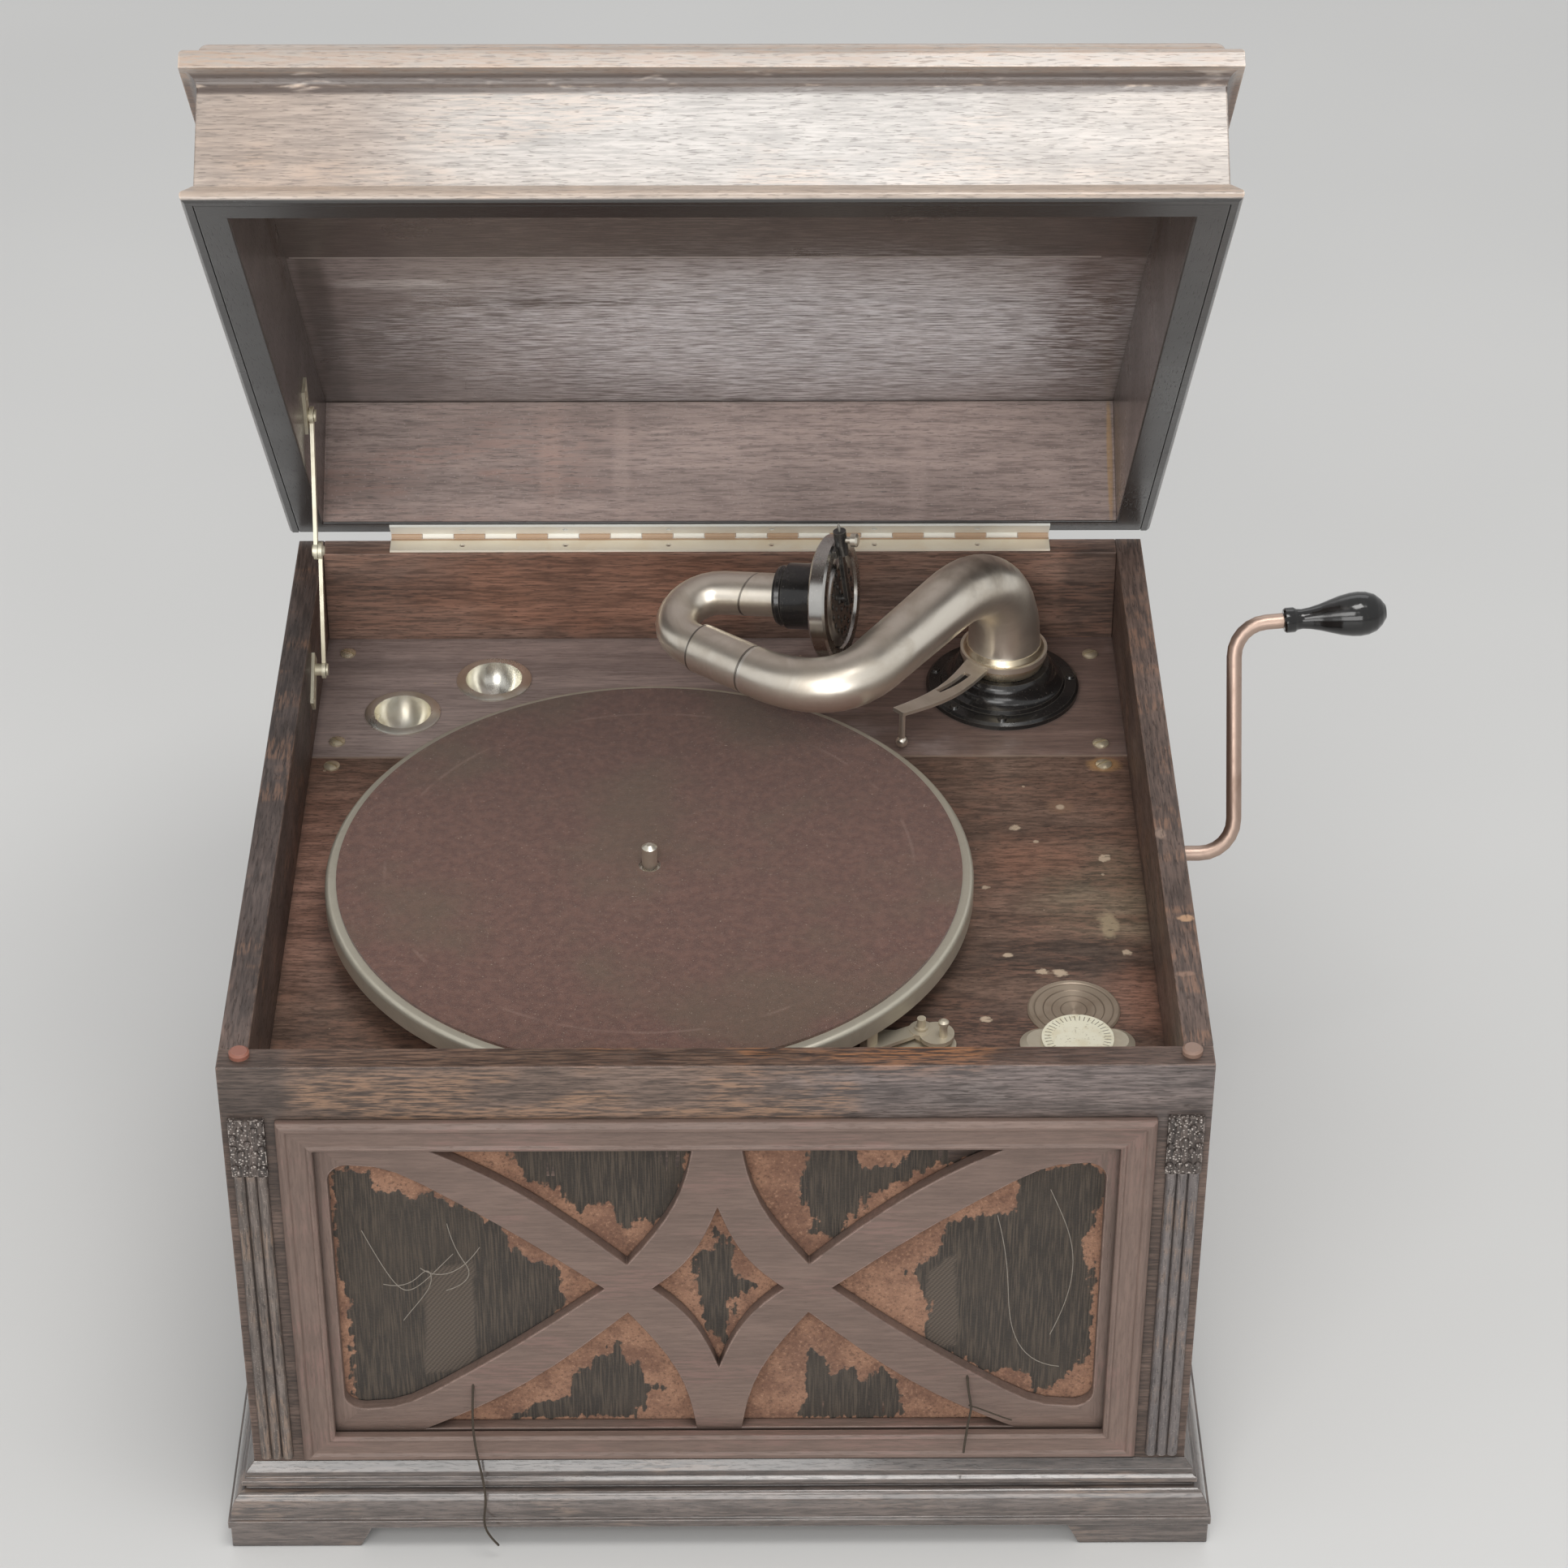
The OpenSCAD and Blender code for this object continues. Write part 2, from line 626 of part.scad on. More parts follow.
// Round rubber buffers at the front corners of the rim
buffer_in = 8.5;
module lid_buffers() {
  h = rim_gap - buffer_gap;
  color("indianred") for (s = [-1, 1]) translate([s * (case_w / 2 - buffer_in - 1), front_y + buffer_in, rim_z]) {
    cylinder(d = buffer_d, h = h - 0.8);
    translate([0, 0, h - 0.8]) cylinder(d1 = buffer_d, d2 = buffer_d - 2, h = 0.8);
  }
}

// Pressed cups that hold the steel needles
module needle_cup() {
  rotate_extrude() polygon(concat(
    [[cup_r, 0], [cup_r, 0.7], [cup_r - 1, cup_t]],
    [[cup_bowl_r - 0.5, cup_t]],
    arc([0, cup_t], cup_bowl_r - cup_t, 0, -90, 12),
    [[0, cup_t - cup_bowl_r]],
    arc([0, cup_t], cup_bowl_r, -90, -asin(cup_t / cup_bowl_r), 12)
  ));
}
module needle_cups() {
  color("silver") for (c = cup_at) translate([c[0], c[1], deck_z]) needle_cup();
}

// Horn

// Cast elbow from the tone arm down to the horn
elbow_r = bore_r + 3;
elbow_z = under_z - 45;
elbow_flange_r = 30;
module throat_elbow() {
  color("dimgray") translate([arm_at[0], arm_at[1], 0]) difference() {
    union() {
      translate([0, 0, elbow_z]) cylinder(r = elbow_r, h = under_z - elbow_z);
      translate([0, 0, under_z - 4]) cylinder(r = elbow_flange_r, h = 4);
    }
    translate([0, 0, elbow_z - 1]) cylinder(r = bore_r, h = under_z - elbow_z + 2);
  }
}

// Horn as a run of rectangular sections: middle, direction, half width, half height
horn_t = 3;
horn_top = under_z - plate_t * 2 - motor_gap - 4;
horn_floor = foot_h + bottom_t + 3;
horn_mid = (horn_top + horn_floor) / 2;
horn_half = (horn_top - horn_floor) / 2;
horn_wide = in_x - 6;
function horn_sections() = [
  [[arm_at[0], arm_at[1], elbow_z], [0, 0, -1], 15, 15],
  [[arm_at[0] - 3, arm_at[1] - 4, elbow_z - 35], [-0.15, -0.3, -1], 18, 17],
  [[arm_at[0] - 20, arm_at[1] - 24, horn_mid + 12], [-0.5, -0.8, -0.6], 26, 22],
  [[arm_at[0] - 60, arm_at[1] - 80, horn_mid], [-0.4, -1, 0], 42, horn_half * 0.6],
  [[spindle_at[0] + 75, (arm_at[1] + in_front) / 2 + 20, horn_mid], [-0.3, -1, 0], horn_wide * 0.4, horn_half * 0.83],
  [[12, in_front + 98, horn_mid], [-0.1, -1, 0], horn_wide * 0.62, horn_half - 1],
  [[0, in_front, (mouth_low + mouth_high) / 2], [0, -1, 0], mouth_half, (mouth_high - mouth_low) / 2]
];
function horn_corner(s, grow, i) = let (
  d = unit(s[1]),
  side = abs(d[2]) > 0.99 ? [1, 0, 0] : -unit(cross(d, [0, 0, 1]))
) s[0] + (s[2] + grow) * (i == 0 || i == 3 ? -1 : 1) * side + (s[3] + grow) * (i < 2 ? -1 : 1) * cross(d, side);
module horn_skin(grow, stretch) {
  s = horn_sections();
  n = len(s) - 1;
  pts = [for (k = [0:n], i = [0:3]) horn_corner(s[k], grow, i) + stretch * unit(s[k][1]) * (k == 0 ? -1 : k == n ? 1 : 0)];
  polyhedron(pts, concat(skin(n + 1, 4), [[0, 1, 2, 3], [for (i = [3:-1:0]) n * 4 + i]]), convexity = 6);
}
module horn() {
  color("tan") difference() {
    horn_skin(horn_t, 0);
    horn_skin(0, 0.5);
  }
}

// Nickel bush and escutcheon where the crank enters
module crank_bush() {
  color("silver") translate([in_x, crank_axis[0], crank_axis[1]]) rotate([0, 90, 0]) difference() {
    union() {
      translate([0, 0, 0]) cylinder(r = bush_r, h = wall);
      translate([0, 0, wall]) cylinder(r1 = bush_flange_r, r2 = bush_flange_r - 1.5, h = 2);
    }
    translate([0, 0, -1]) cylinder(r = rod_r + run_gap, h = wall + 4);
  }
}

// Continuous hinge: each leaf carries every other knuckle
knuckle_gap = 0.3;
pitch = hinge_len / knuckles;
module hinge_leaf(first) {
  difference() {
    union() {
      block([-hinge_len / 2, -leaf_w, 0], [hinge_len / 2, hinge_back - knuckle_r - 0.25, leaf_t]);
      for (i = [first:2:knuckles - 1]) translate([-hinge_len / 2 + i * pitch + knuckle_gap / 2, 0, 0]) {
        block([0, -leaf_w / 2, 0], [pitch - knuckle_gap, hinge_back, leaf_t]);
        translate([0, hinge_back, rim_gap / 2]) rotate([0, 90, 0]) cylinder(r = knuckle_r, h = pitch - knuckle_gap, $fn = 32);
      }
    }
    for (i = [0:5]) translate([(i - 2.5) * hinge_len / 6.4, -leaf_w / 2 - 1, -1]) cylinder(r = 1.4, h = leaf_t + 2, $fn = 24);
  }
}
module hinge_case_leaf() {
  color("khaki") translate([0, 0, rim_z]) {
    hinge_leaf(0);
    translate([-hinge_len / 2 + knuckle_gap / 2, hinge_back, rim_gap / 2]) rotate([0, 90, 0])
      cylinder(r = hinge_pin_r, h = hinge_len - knuckle_gap, $fn = 32);
  }
}
module hinge_lid_leaf() {
  color("khaki") lid_pose() difference() {
    translate([0, 0, rim_z + rim_gap]) mirror([0, 0, 1]) hinge_leaf(1);
    translate([-hinge_len, hinge_back, rim_z + rim_gap / 2]) rotate([0, 90, 0])
      cylinder(r = hinge_pin_r + run_gap, h = hinge_len * 2, $fn = 32);
  }
}

// Folding stay on the left, straight when the lid is open
stay_case = [-stay_case_y, rim_z - stay_case_z];
stay_lid = lid_turn(-stay_lid_y, rim_z + stay_lid_z);
stay_span = norm(stay_lid - stay_case);
stay_angle = atan2(stay_lid[1] - stay_case[1], stay_lid[0] - stay_case[0]);
stay_upper_len = stay_span - stay_lower_len;
stay_bracket_t = 1.5;
lid_in_x = lid_half - lid_wall;
upper_x = -lid_in_x + stay_bracket_t + 0.8;
lower_x = upper_x + stay_t + touch_gap;
module stay_arm(x, len, w, pin_end) {
  translate([x, 0, 0]) rotate([90, 0, 90]) {
    difference() {
      union() {
        translate([0, -w / 2]) cube([len, w, stay_t]);
        cylinder(r = 4.4, h = stay_t);
        translate([len, 0, 0]) cylinder(r = 4.4, h = stay_t);
      }
      translate([0, 0, -1]) cylinder(r = stay_pin_r + run_gap, h = stay_t + 2);
    }
    if (pin_end > 0) translate([len, 0, stay_t]) cylinder(r1 = 3, r2 = 2, h = 1.2);
    else translate([len, 0, -0.8]) cylinder(r = 3, h = 0.8);
  }
}
module stay_lower_arm() {
  color("silver") translate([0, stay_case[0], stay_case[1]]) rotate([stay_angle, 0, 0])
    stay_arm(lower_x, stay_lower_len, stay_lower_w, 1);
}
module stay_upper_arm() {
  color("silver") translate([0, stay_lid[0], stay_lid[1]]) rotate([stay_angle + 180, 0, 0])
    stay_arm(upper_x, stay_upper_len, stay_upper_w, 0);
}
module bracket(pin_h) {
  difference() {
    union() {
      translate([-7, -6, 0]) cube([26, 12, stay_bracket_t]);
      cylinder(r = 6, h = stay_bracket_t);
      cylinder(r = 3, h = pin_h - stay_t - touch_gap - 0.1);
      cylinder(r = stay_pin_r, h = pin_h);
      translate([0, 0, pin_h]) cylinder(r = 3, h = 0.8);
    }
    for (x = [10, 16]) translate([x, 0, -1]) cylinder(r = 1.3, h = 4, $fn = 24);
  }
}
module stay_case_bracket() {
  color("silver") translate([-in_x, stay_case[0], stay_case[1]]) rotate([90, 0, 90]) rotate([0, 0, -140])
    bracket(lower_x + in_x + stay_t + touch_gap);
}
module stay_lid_bracket() {
  color("silver") lid_pose() translate([-lid_in_x, -stay_lid_y, rim_z + stay_lid_z]) rotate([90, 0, 90])
    rotate([0, 0, 150]) bracket(upper_x + lid_in_x + stay_t + touch_gap);
}

// Lid

lid_low = rim_z + rim_gap;
module lid_walls() {
  top = lid_low + lid_depth;
  color("sienna") lid_pose() {
    for (s = [0, 1]) mirror([s, 0, 0]) block([-lid_half, lid_front + lid_wall, lid_low], [-lid_in_x, -lid_wall, top]);
    block([-lid_half, lid_front, lid_low], [lid_half, lid_front + lid_wall, top]);
    block([-lid_half, -lid_wall, lid_low], [lid_half, 0, top]);
  }
}
module lid_top() {
  top = lid_low + lid_h;
  color("sienna") lid_pose() intersection() {
    run_x(-case_w, case_w) polygon(concat(
      [[lid_front, lid_low + lid_depth], [0, lid_low + lid_depth]],
      arc([-top_round, top - top_round], top_round, 0, 90),
      arc([lid_front + top_round, top - top_round], top_round, 90, 180)
    ));
    run_y(-2 * case_d, case_d) polygon(concat(
      [[-lid_half, lid_low + lid_depth], [lid_half, lid_low + lid_depth]],
      arc([lid_half - top_round, top - top_round], top_round, 0, 90),
      arc([-lid_half + top_round, top - top_round], top_round, 90, 180)
    ));
  }
}

// Bead along the lip and cornice under the top edge, on the front and both sides
function bead_steps() = concat([[0, 0], [bead_out - 2, 0]], arc([bead_out - 3, 3], 3, -60, 60), [[0, bead_h]]);
function cornice_steps() = concat(
  [[0, 0]],
  arc([cornice_out - 1, 0], cornice_out - 1, 180, 90),
  [[cornice_out, cornice_out - 1]],
  arc([cornice_out - 3, cornice_h - 4], 3, 0, 80),
  [[0, cornice_h]]
);
module lid_moulding(steps, z) {
  difference() {
    intersection() {
      run_y(lid_front - 20, 0) polygon(concat(
        [for (s = steps) [lid_half + s[0], z + s[1]]],
        [for (i = [len(steps) - 1:-1:0]) [-lid_half - steps[i][0], z + steps[i][1]]]
      ));
      run_x(-case_w, case_w) polygon(concat([for (s = steps) [lid_front - s[0], z + s[1]]],
        [[0, z + steps[len(steps) - 1][1]], [0, z]]));
    }
    block([-lid_half, lid_front, z - 1], [lid_half, 1, z + cornice_h + 20]);
  }
}
module lid_mouldings() {
  color("sienna") lid_pose() {
    lid_moulding(bead_steps(), lid_low);
    lid_moulding(cornice_steps(), lid_low + cornice_z);
  }
}

// Turntable

platter_z = deck_z + platter_up;
felt_top = platter_z + felt_t;
hub_r = 11;
module turntable() {
  color("silver") translate([spindle_at[0], spindle_at[1], 0]) rotate_extrude($fn = 180) polygon(concat(
    [[spindle_shaft_r, platter_z - 9], [hub_r, platter_z - 9], [hub_r + 3, platter_z - platter_t]],
    [[platter_r - platter_t - 2, platter_z - platter_t], [platter_r - platter_t, platter_z - platter_t - 2]],
    [[platter_r - platter_t, platter_z - skirt_h], [platter_r, platter_z - skirt_h]],
    arc([platter_r - 2.5, platter_z - 2.5], 2.5, 0, 90),
    [[spindle_shaft_r, platter_z]]
  ));
}
module turntable_felt() {
  color("rosybrown") translate([spindle_at[0], spindle_at[1], platter_z]) ring(platter_r - felt_inset, felt_hole_r, felt_t);
}

// Spindle with the wheel that drives the governor and the pinion it is driven by
motor_top = under_z;
plate_top_low = motor_top - plate_t;
plate_low = plate_top_low - motor_gap;
gov_wheel_teeth = 48;
gov_mod = 0.8;
gov_z = plate_top_low - 17;
spindle_teeth = 16;
transfer_teeth = 90;
transfer_mod = 1;
wheel_z = plate_low + 5;
module spindle() {
  color("silver") translate([spindle_at[0], spindle_at[1], 0]) {
    translate([0, 0, plate_low - plate_t]) cylinder(r = 3, h = plate_t);
    translate([0, 0, plate_low]) cylinder(r = spindle_shaft_r, h = platter_z - plate_low);
    translate([0, 0, platter_z]) cylinder(r = spindle_r, h = felt_t + spindle_tip - 1.5);
    translate([0, 0, felt_top + spindle_tip - 1.5]) cylinder(r1 = spindle_r, r2 = 1.5, h = 1.5);
    translate([0, 0, wheel_z - 0.5]) spur_gear(spindle_teeth, transfer_mod, 4.5, 0);
    translate([0, 0, gov_z - 2.5]) spur_gear(gov_wheel_teeth, gov_mod, 5, 0);
  }
}

// Straight-toothed wheel with its pitch radius at teeth * mod / 2, one tooth at angle 0
tooth_share = 0.42;
module spur_gear(teeth, mod, h, phase) {
  r = teeth * mod / 2;
  root = r - 1.2 * mod;
  tip = r + 0.9 * mod;
  half = 180 / teeth * tooth_share;
  rotate([0, 0, phase]) linear_extrude(height = h) polygon([
    for (i = [0:teeth - 1]) let (a = 360 * i / teeth) each [
      [root * cos(a - half * 1.75), root * sin(a - half * 1.75)],
      [r * cos(a - half), r * sin(a - half)],
      [tip * cos(a - half * 0.45), tip * sin(a - half * 0.45)],
      [tip * cos(a + half * 0.45), tip * sin(a + half * 0.45)],
      [r * cos(a + half), r * sin(a + half)],
      [root * cos(a + half * 1.75), root * sin(a + half * 1.75)]
    ]
  ]);
}

// Motor frame: two plates and four pillars
barrel_at = [spindle_at[0] + barrel_right, crank_axis[0]];
plate_x0 = spindle_at[0] - 62;
plate_x1 = barrel_at[0] + 68;
plate_y0 = spindle_at[1] - 52;
plate_y1 = barrel_at[1] + 62;
pillar_r = 5;
pillars = [[plate_x0 + 8, plate_y0 + 8], [plate_x1 - 8, plate_y0 + 8], [plate_x1 - 8, plate_y1 - 8],
  [plate_x0 + 8, plate_y1 - 8]];
barrel_teeth = 88;
barrel_mod = 1.25;
pinion_teeth = 12;
mesh_slack = 0.15;
barrel_to_transfer = (barrel_teeth + pinion_teeth) * barrel_mod / 2 + mesh_slack;
transfer_to_spindle = (transfer_teeth + spindle_teeth) * transfer_mod / 2 + mesh_slack;
centre_d = norm(spindle_at - barrel_at);
centre_a = atan2(spindle_at[1] - barrel_at[1], spindle_at[0] - barrel_at[0]);
transfer_a = acos((barrel_to_transfer * barrel_to_transfer + centre_d * centre_d
  - transfer_to_spindle * transfer_to_spindle) / (2 * barrel_to_transfer * centre_d));
transfer_at = barrel_at + barrel_to_transfer * [cos(centre_a + transfer_a), sin(centre_a + transfer_a)];
arbor_r = 4;
pivot_r = 2.5;
module motor_plate(z) {
  difference() {
    block([plate_x0, plate_y0, z], [plate_x1, plate_y1, z + plate_t]);
    translate([spindle_at[0], spindle_at[1], z - 1])
      cylinder(r = (z > plate_low ? spindle_shaft_r : 3) + run_gap, h = plate_t + 2);
    translate([barrel_at[0], barrel_at[1], z - 1]) cylinder(r = arbor_r + run_gap, h = plate_t + 2);
    translate([transfer_at[0], transfer_at[1], z - 1]) cylinder(r = pivot_r + run_gap, h = plate_t + 2);
    for (i = [0:3]) if (z > plate_low) translate([motor_bolt(i)[0], motor_bolt(i)[1], z - 1]) cylinder(r = bolt_r, h = plate_t + 2);
  }
}
module motor_frame() {
  color("lightsteelblue") {
    motor_plate(plate_top_low);
    motor_plate(plate_low - plate_t);
    for (p = pillars) translate([p[0], p[1], plate_low]) cylinder(r = pillar_r, h = motor_gap);
    for (s = [-1, 1]) gov_bracket(s);
    difference() {
      block([plate_x1 - 5, crank_axis[0] - 9, crank_axis[1] - 9], [plate_x1, crank_axis[0] + 9, plate_top_low]);
      translate([plate_x1 - 6, crank_axis[0], crank_axis[1]]) rotate([0, 90, 0]) cylinder(r = rod_r + run_gap, h = 7);
    }
  }
}

// Bolts that hang the motor from the front deck board
module motor_bolts() {
  color("silver") for (i = [0:3]) translate([motor_bolt(i)[0], motor_bolt(i)[1], 0]) difference() {
    union() {
      translate([0, 0, deck_z]) cylinder(r = 6.5, h = 1);
      translate([0, 0, deck_z + 1]) cylinder(r1 = 5, r2 = 3.5, h = 2);
      translate([0, 0, plate_top_low - 6]) cylinder(r = bolt_r - run_gap, h = deck_z - plate_top_low + 6);
      translate([0, 0, plate_top_low - 4]) cylinder(r = 5, h = 4, $fn = 6);
    }
    translate([-6, -0.6, deck_z + 2]) cube([12, 1.2, 3]);
  }
}

// Crown wheel on the barrel arbor, turned by the pinion on the crank
wind_mod = 1.5;
crank_teeth = 12;
crown_teeth = 48;
crown_r = crown_teeth * wind_mod / 2;
crank_pinion_r = crank_teeth * wind_mod / 2;
crown_z = crank_axis[1] - crank_pinion_r - mesh_slack;
crown_w = 7;
module winding_wheel() {
  color("goldenrod") translate([barrel_at[0], barrel_at[1], 0]) {
    translate([0, 0, plate_low - plate_t]) cylinder(r = arbor_r, h = motor_gap + 2 * plate_t);
    translate([0, 0, crown_z - 5]) ring(crown_r + crown_w / 2, arbor_r, 3.2);
    intersection() {
      translate([0, 0, crown_z - 1.9]) ring(crown_r + crown_w / 2, crown_r - crown_w / 2, 3.2);
      for (i = [0:crown_teeth - 1]) rotate([0, 0, 360 * i / crown_teeth]) translate([crown_r - crown_w, 0, crown_z])
        rotate([90, 0, 90]) linear_extrude(height = crown_w * 2) polygon([
          [-wind_mod * 0.95, -2], [-wind_mod * 0.6, 0], [-wind_mod * 0.25, 1.2],
          [wind_mod * 0.25, 1.2], [wind_mod * 0.6, 0], [wind_mod * 0.95, -2]
        ]);
    }
  }
}

// Spring barrel, hollow, with its toothed wheel below
barrel_z = wheel_z + 10;
barrel_wall = 1.6;
module spring_barrel() {
  color("lightsteelblue") translate([barrel_at[0], barrel_at[1], barrel_z]) difference() {
    union() {
      translate([0, 0, -4]) spur_gear(barrel_teeth, barrel_mod, 4, 0);
      cylinder(r = barrel_r, h = barrel_h);
    }
    translate([0, 0, barrel_wall]) cylinder(r = barrel_r - barrel_wall, h = barrel_h - 2 * barrel_wall);
    translate([0, 0, -5]) cylinder(r = arbor_r + run_gap, h = barrel_h + 10);
  }
}

// Mainspring as a spiral strip inside the barrel
spring_t = 0.6;
module mainspring() {
  r0 = arbor_r + 3;
  r1 = barrel_r - barrel_wall - touch_gap;
  n = spring_turns * 24;
  color("slategray") translate([barrel_at[0], barrel_at[1], barrel_z + barrel_wall + touch_gap])
    linear_extrude(height = barrel_h - 2 * barrel_wall - 2 * touch_gap) polygon(concat(
      [for (i = [0:n]) let (a = 360 * spring_turns * i / n, r = r0 + (r1 - r0) * i / n) [r * cos(a), r * sin(a)]],
      [for (i = [n:-1:0]) let (a = 360 * spring_turns * i / n, r = r0 + (r1 - r0) * i / n - spring_t)
        [r * cos(a), r * sin(a)]]
    ));
}

// Intermediate arbor between barrel and spindle
function mesh_phase(teeth, at_angle) = at_angle + 180 / teeth;
dir_bt = centre_a + transfer_a;
dir_ts = atan2(spindle_at[1] - transfer_at[1], spindle_at[0] - transfer_at[0]);
function fold(a, step) = a - step * floor(a / step);
// The small pinion meets the barrel wheel and the large wheel meets the spindle's pinion
pinion_phase = dir_bt + 180 + 180 / pinion_teeth - fold(dir_bt, 360 / barrel_teeth) * -barrel_teeth / pinion_teeth;
wheel_phase = dir_ts + 180 / transfer_teeth - fold(dir_ts + 180, 360 / spindle_teeth) * -spindle_teeth / transfer_teeth;
module transfer_wheel() {
  color("goldenrod") translate([transfer_at[0], transfer_at[1], 0]) {
    translate([0, 0, plate_low - plate_t]) cylinder(r = pivot_r, h = motor_gap + 2 * plate_t);
    translate([0, 0, plate_low + 1]) cylinder(r = arbor_r, h = motor_gap - 2);
    translate([0, 0, barrel_z - 5]) spur_gear(pinion_teeth, barrel_mod, 6, pinion_phase);
    translate([0, 0, wheel_z]) difference() {
      spur_gear(transfer_teeth, transfer_mod, 3, wheel_phase);
      for (i = [0:4]) rotate([0, 0, i * 72]) translate([26, 0, -1]) cylinder(r = 9, h = 5);
    }
  }
}

// Centrifugal governor on a level shaft
worm_r = 4.5;
worm_starts = 4;
worm_lead = worm_starts * PI * gov_mod;
gov_wheel_tip = gov_wheel_teeth * gov_mod / 2 + 0.9 * gov_mod;
gov_y = spindle_at[1] - gov_wheel_tip - worm_r - touch_gap;
gov_x0 = spindle_at[0] - 18;
gov_x1 = spindle_at[0] + 78;
gov_disc_x = gov_x1 - 12;
module gov_bracket(s) {
  x = s < 0 ? gov_x0 : gov_x1 - 4;
  difference() {
    block([x, gov_y - 6, gov_z - 6], [x + 4, gov_y + 6, plate_top_low]);
    translate([x - 1, gov_y, gov_z]) rotate([0, 90, 0]) cylinder(r = 1.5 + run_gap, h = 6, $fn = 32);
  }
}
module governor() {
  color("goldenrod") translate([0, gov_y, gov_z]) rotate([0, 90, 0]) {
    translate([0, 0, gov_x0]) cylinder(r = 1.5, h = gov_x1 - gov_x0, $fn = 32);
    translate([0, 0, gov_x0 + 4.5]) cylinder(r = 2.5, h = gov_x1 - gov_x0 - 9, $fn = 32);
    translate([0, 0, spindle_at[0] - 9]) linear_extrude(height = 18, twist = 360 * 18 / worm_lead, slices = 32)
      circle(r = worm_r, $fn = worm_starts);
    translate([0, 0, gov_disc_x]) cylinder(r = gov_disc_r, h = 2);
    translate([0, 0, gov_disc_x - 3]) cylinder(r = 5, h = 4);
    translate([0, 0, spindle_at[0] + 20]) cylinder(r = 5, h = 4);
  }
}

// Three weights on leaf springs, between the governor's collars
weight_r = 3.6;
module governor_weights() {
  span = gov_disc_x - 3 - spindle_at[0] - 24;
  mid = spindle_at[0] + 24 + span / 2;
  color("silver") translate([0, gov_y, gov_z]) for (i = [0:2]) rotate([i * 120, 0, 0]) {
    translate([mid - span / 2, -2, 4.4]) rotate([0, -10, 0]) cube([span / 2 + 0.2, 4, 0.5]);
    translate([mid + span / 2, -2, 4.4]) rotate([0, 190, 0]) translate([0, 0, -0.5]) cube([span / 2 + 0.2, 4, 0.5]);
    translate([mid - 3.5, 0, 4.4 + span / 2 * sin(10) + 2]) rotate([0, 90, 0]) cylinder(r = weight_r - 0.6, h = 7, $fn = 24);
  }
}

// Tone arm

base_screws = [5, 95, 165, 223, 267];
base_screw_r = base_r - 4;
base_top = deck_z + base_h;
module tone_arm_base() {
  color("black") translate([arm_at[0], arm_at[1], 0]) {
    difference() {
      rotate_extrude($fn = 96) polygon([
        [bore_r, deck_z], [base_r, deck_z], [base_r, deck_z + 2.4], [base_r - 1.4, deck_z + 3.6],
        [base_r - 7, deck_z + 4.2], [base_r - 7.8, deck_z + 6.4], [base_r - 10, deck_z + 7], [neck_r + 1, deck_z + 8.4],
        [neck_r, deck_z + 10], [neck_r - 1, base_top - 2], [neck_r - 3, base_top], [bore_r, base_top]
      ]);
      for (a = base_screws) rotate([0, 0, a]) translate([base_screw_r, 0, deck_z - 1]) cylinder(r = 1.2, h = 8);
    }
    for (a = base_screws) rotate([0, 0, a]) translate([base_screw_r, 0, deck_z]) {
      cylinder(r = 1.2, h = 4.6);
      translate([0, 0, 3.6]) cylinder(r1 = 2.6, r2 = 1.6, h = 1.4);
    }
  }
}

arm_foot_z = base_top + touch_gap + collar_h;
module tone_arm_collar() {
  color("silver") translate([arm_at[0], arm_at[1], 0]) rotate_extrude($fn = 96) polygon([
    [bore_r - run_gap - 1.5, base_top - 6], [bore_r - run_gap, base_top - 6], [bore_r - run_gap, base_top + touch_gap],
    [arm_r0 + 1.2, base_top + touch_gap], [arm_r0 + 2, base_top + touch_gap + 2],
    [arm_r0 + 2, arm_foot_z - 3], [arm_r0 + 0.3, arm_foot_z], [bore_r - run_gap - 1.5, arm_foot_z]
  ]);
}

// Centre line of the arm tube: up from the collar, over, down and round to the gooseneck
swan_at = [arm_at[0] - swan_left, arm_at[1] - swan_front, deck_z + swan_up];
swan_axis = [cos(swan_az) * cos(swan_fall), sin(swan_az) * cos(swan_fall), -sin(swan_fall)];
arm_foot = [arm_at[0], arm_at[1], arm_foot_z];
run_top = [arm_at[0] - 31, arm_at[1] - 36, deck_z + 75];
run_low = [arm_at[0] - 68, arm_at[1] - 79, deck_z + 67];
run_dir = unit(run_low - run_top);
arm_end = swan_at - swan_axis * swivel_gap;
arm_line = concat(
  [arm_foot],
  [for (i = [0:11]) bezier(arm_foot + [0, 0, 2], arm_foot + [0, 0, 36], run_top - run_dir * 25, run_top, i / 12)],
  [for (i = [0:3]) run_top + (run_low - run_top) * i / 4],
  [for (i = [0:12]) bezier(run_low, run_low + run_dir * 24, arm_end - swan_axis * 28, arm_end - swan_axis * 2, i / 12)],
  [arm_end]
);
function arm_radius(i) = arm_r0 + (arm_r1 - arm_r0) * pow(i / (len(arm_line) - 1), 0.8);
module tone_arm_tube() {
  n = len(arm_line) - 1;
  grown = concat([arm_line[0] - [0, 0, 1]], [for (i = [1:n - 1]) arm_line[i]], [arm_line[n] + swan_axis]);
  color("silver") difference() {
    tube_along(arm_line, [for (i = [0:n]) arm_radius(i)], [1, 0, 0]);
    tube_along(grown, [for (i = [0:n]) arm_radius(i) - tube_t], [1, 0, 0]);
  }
}

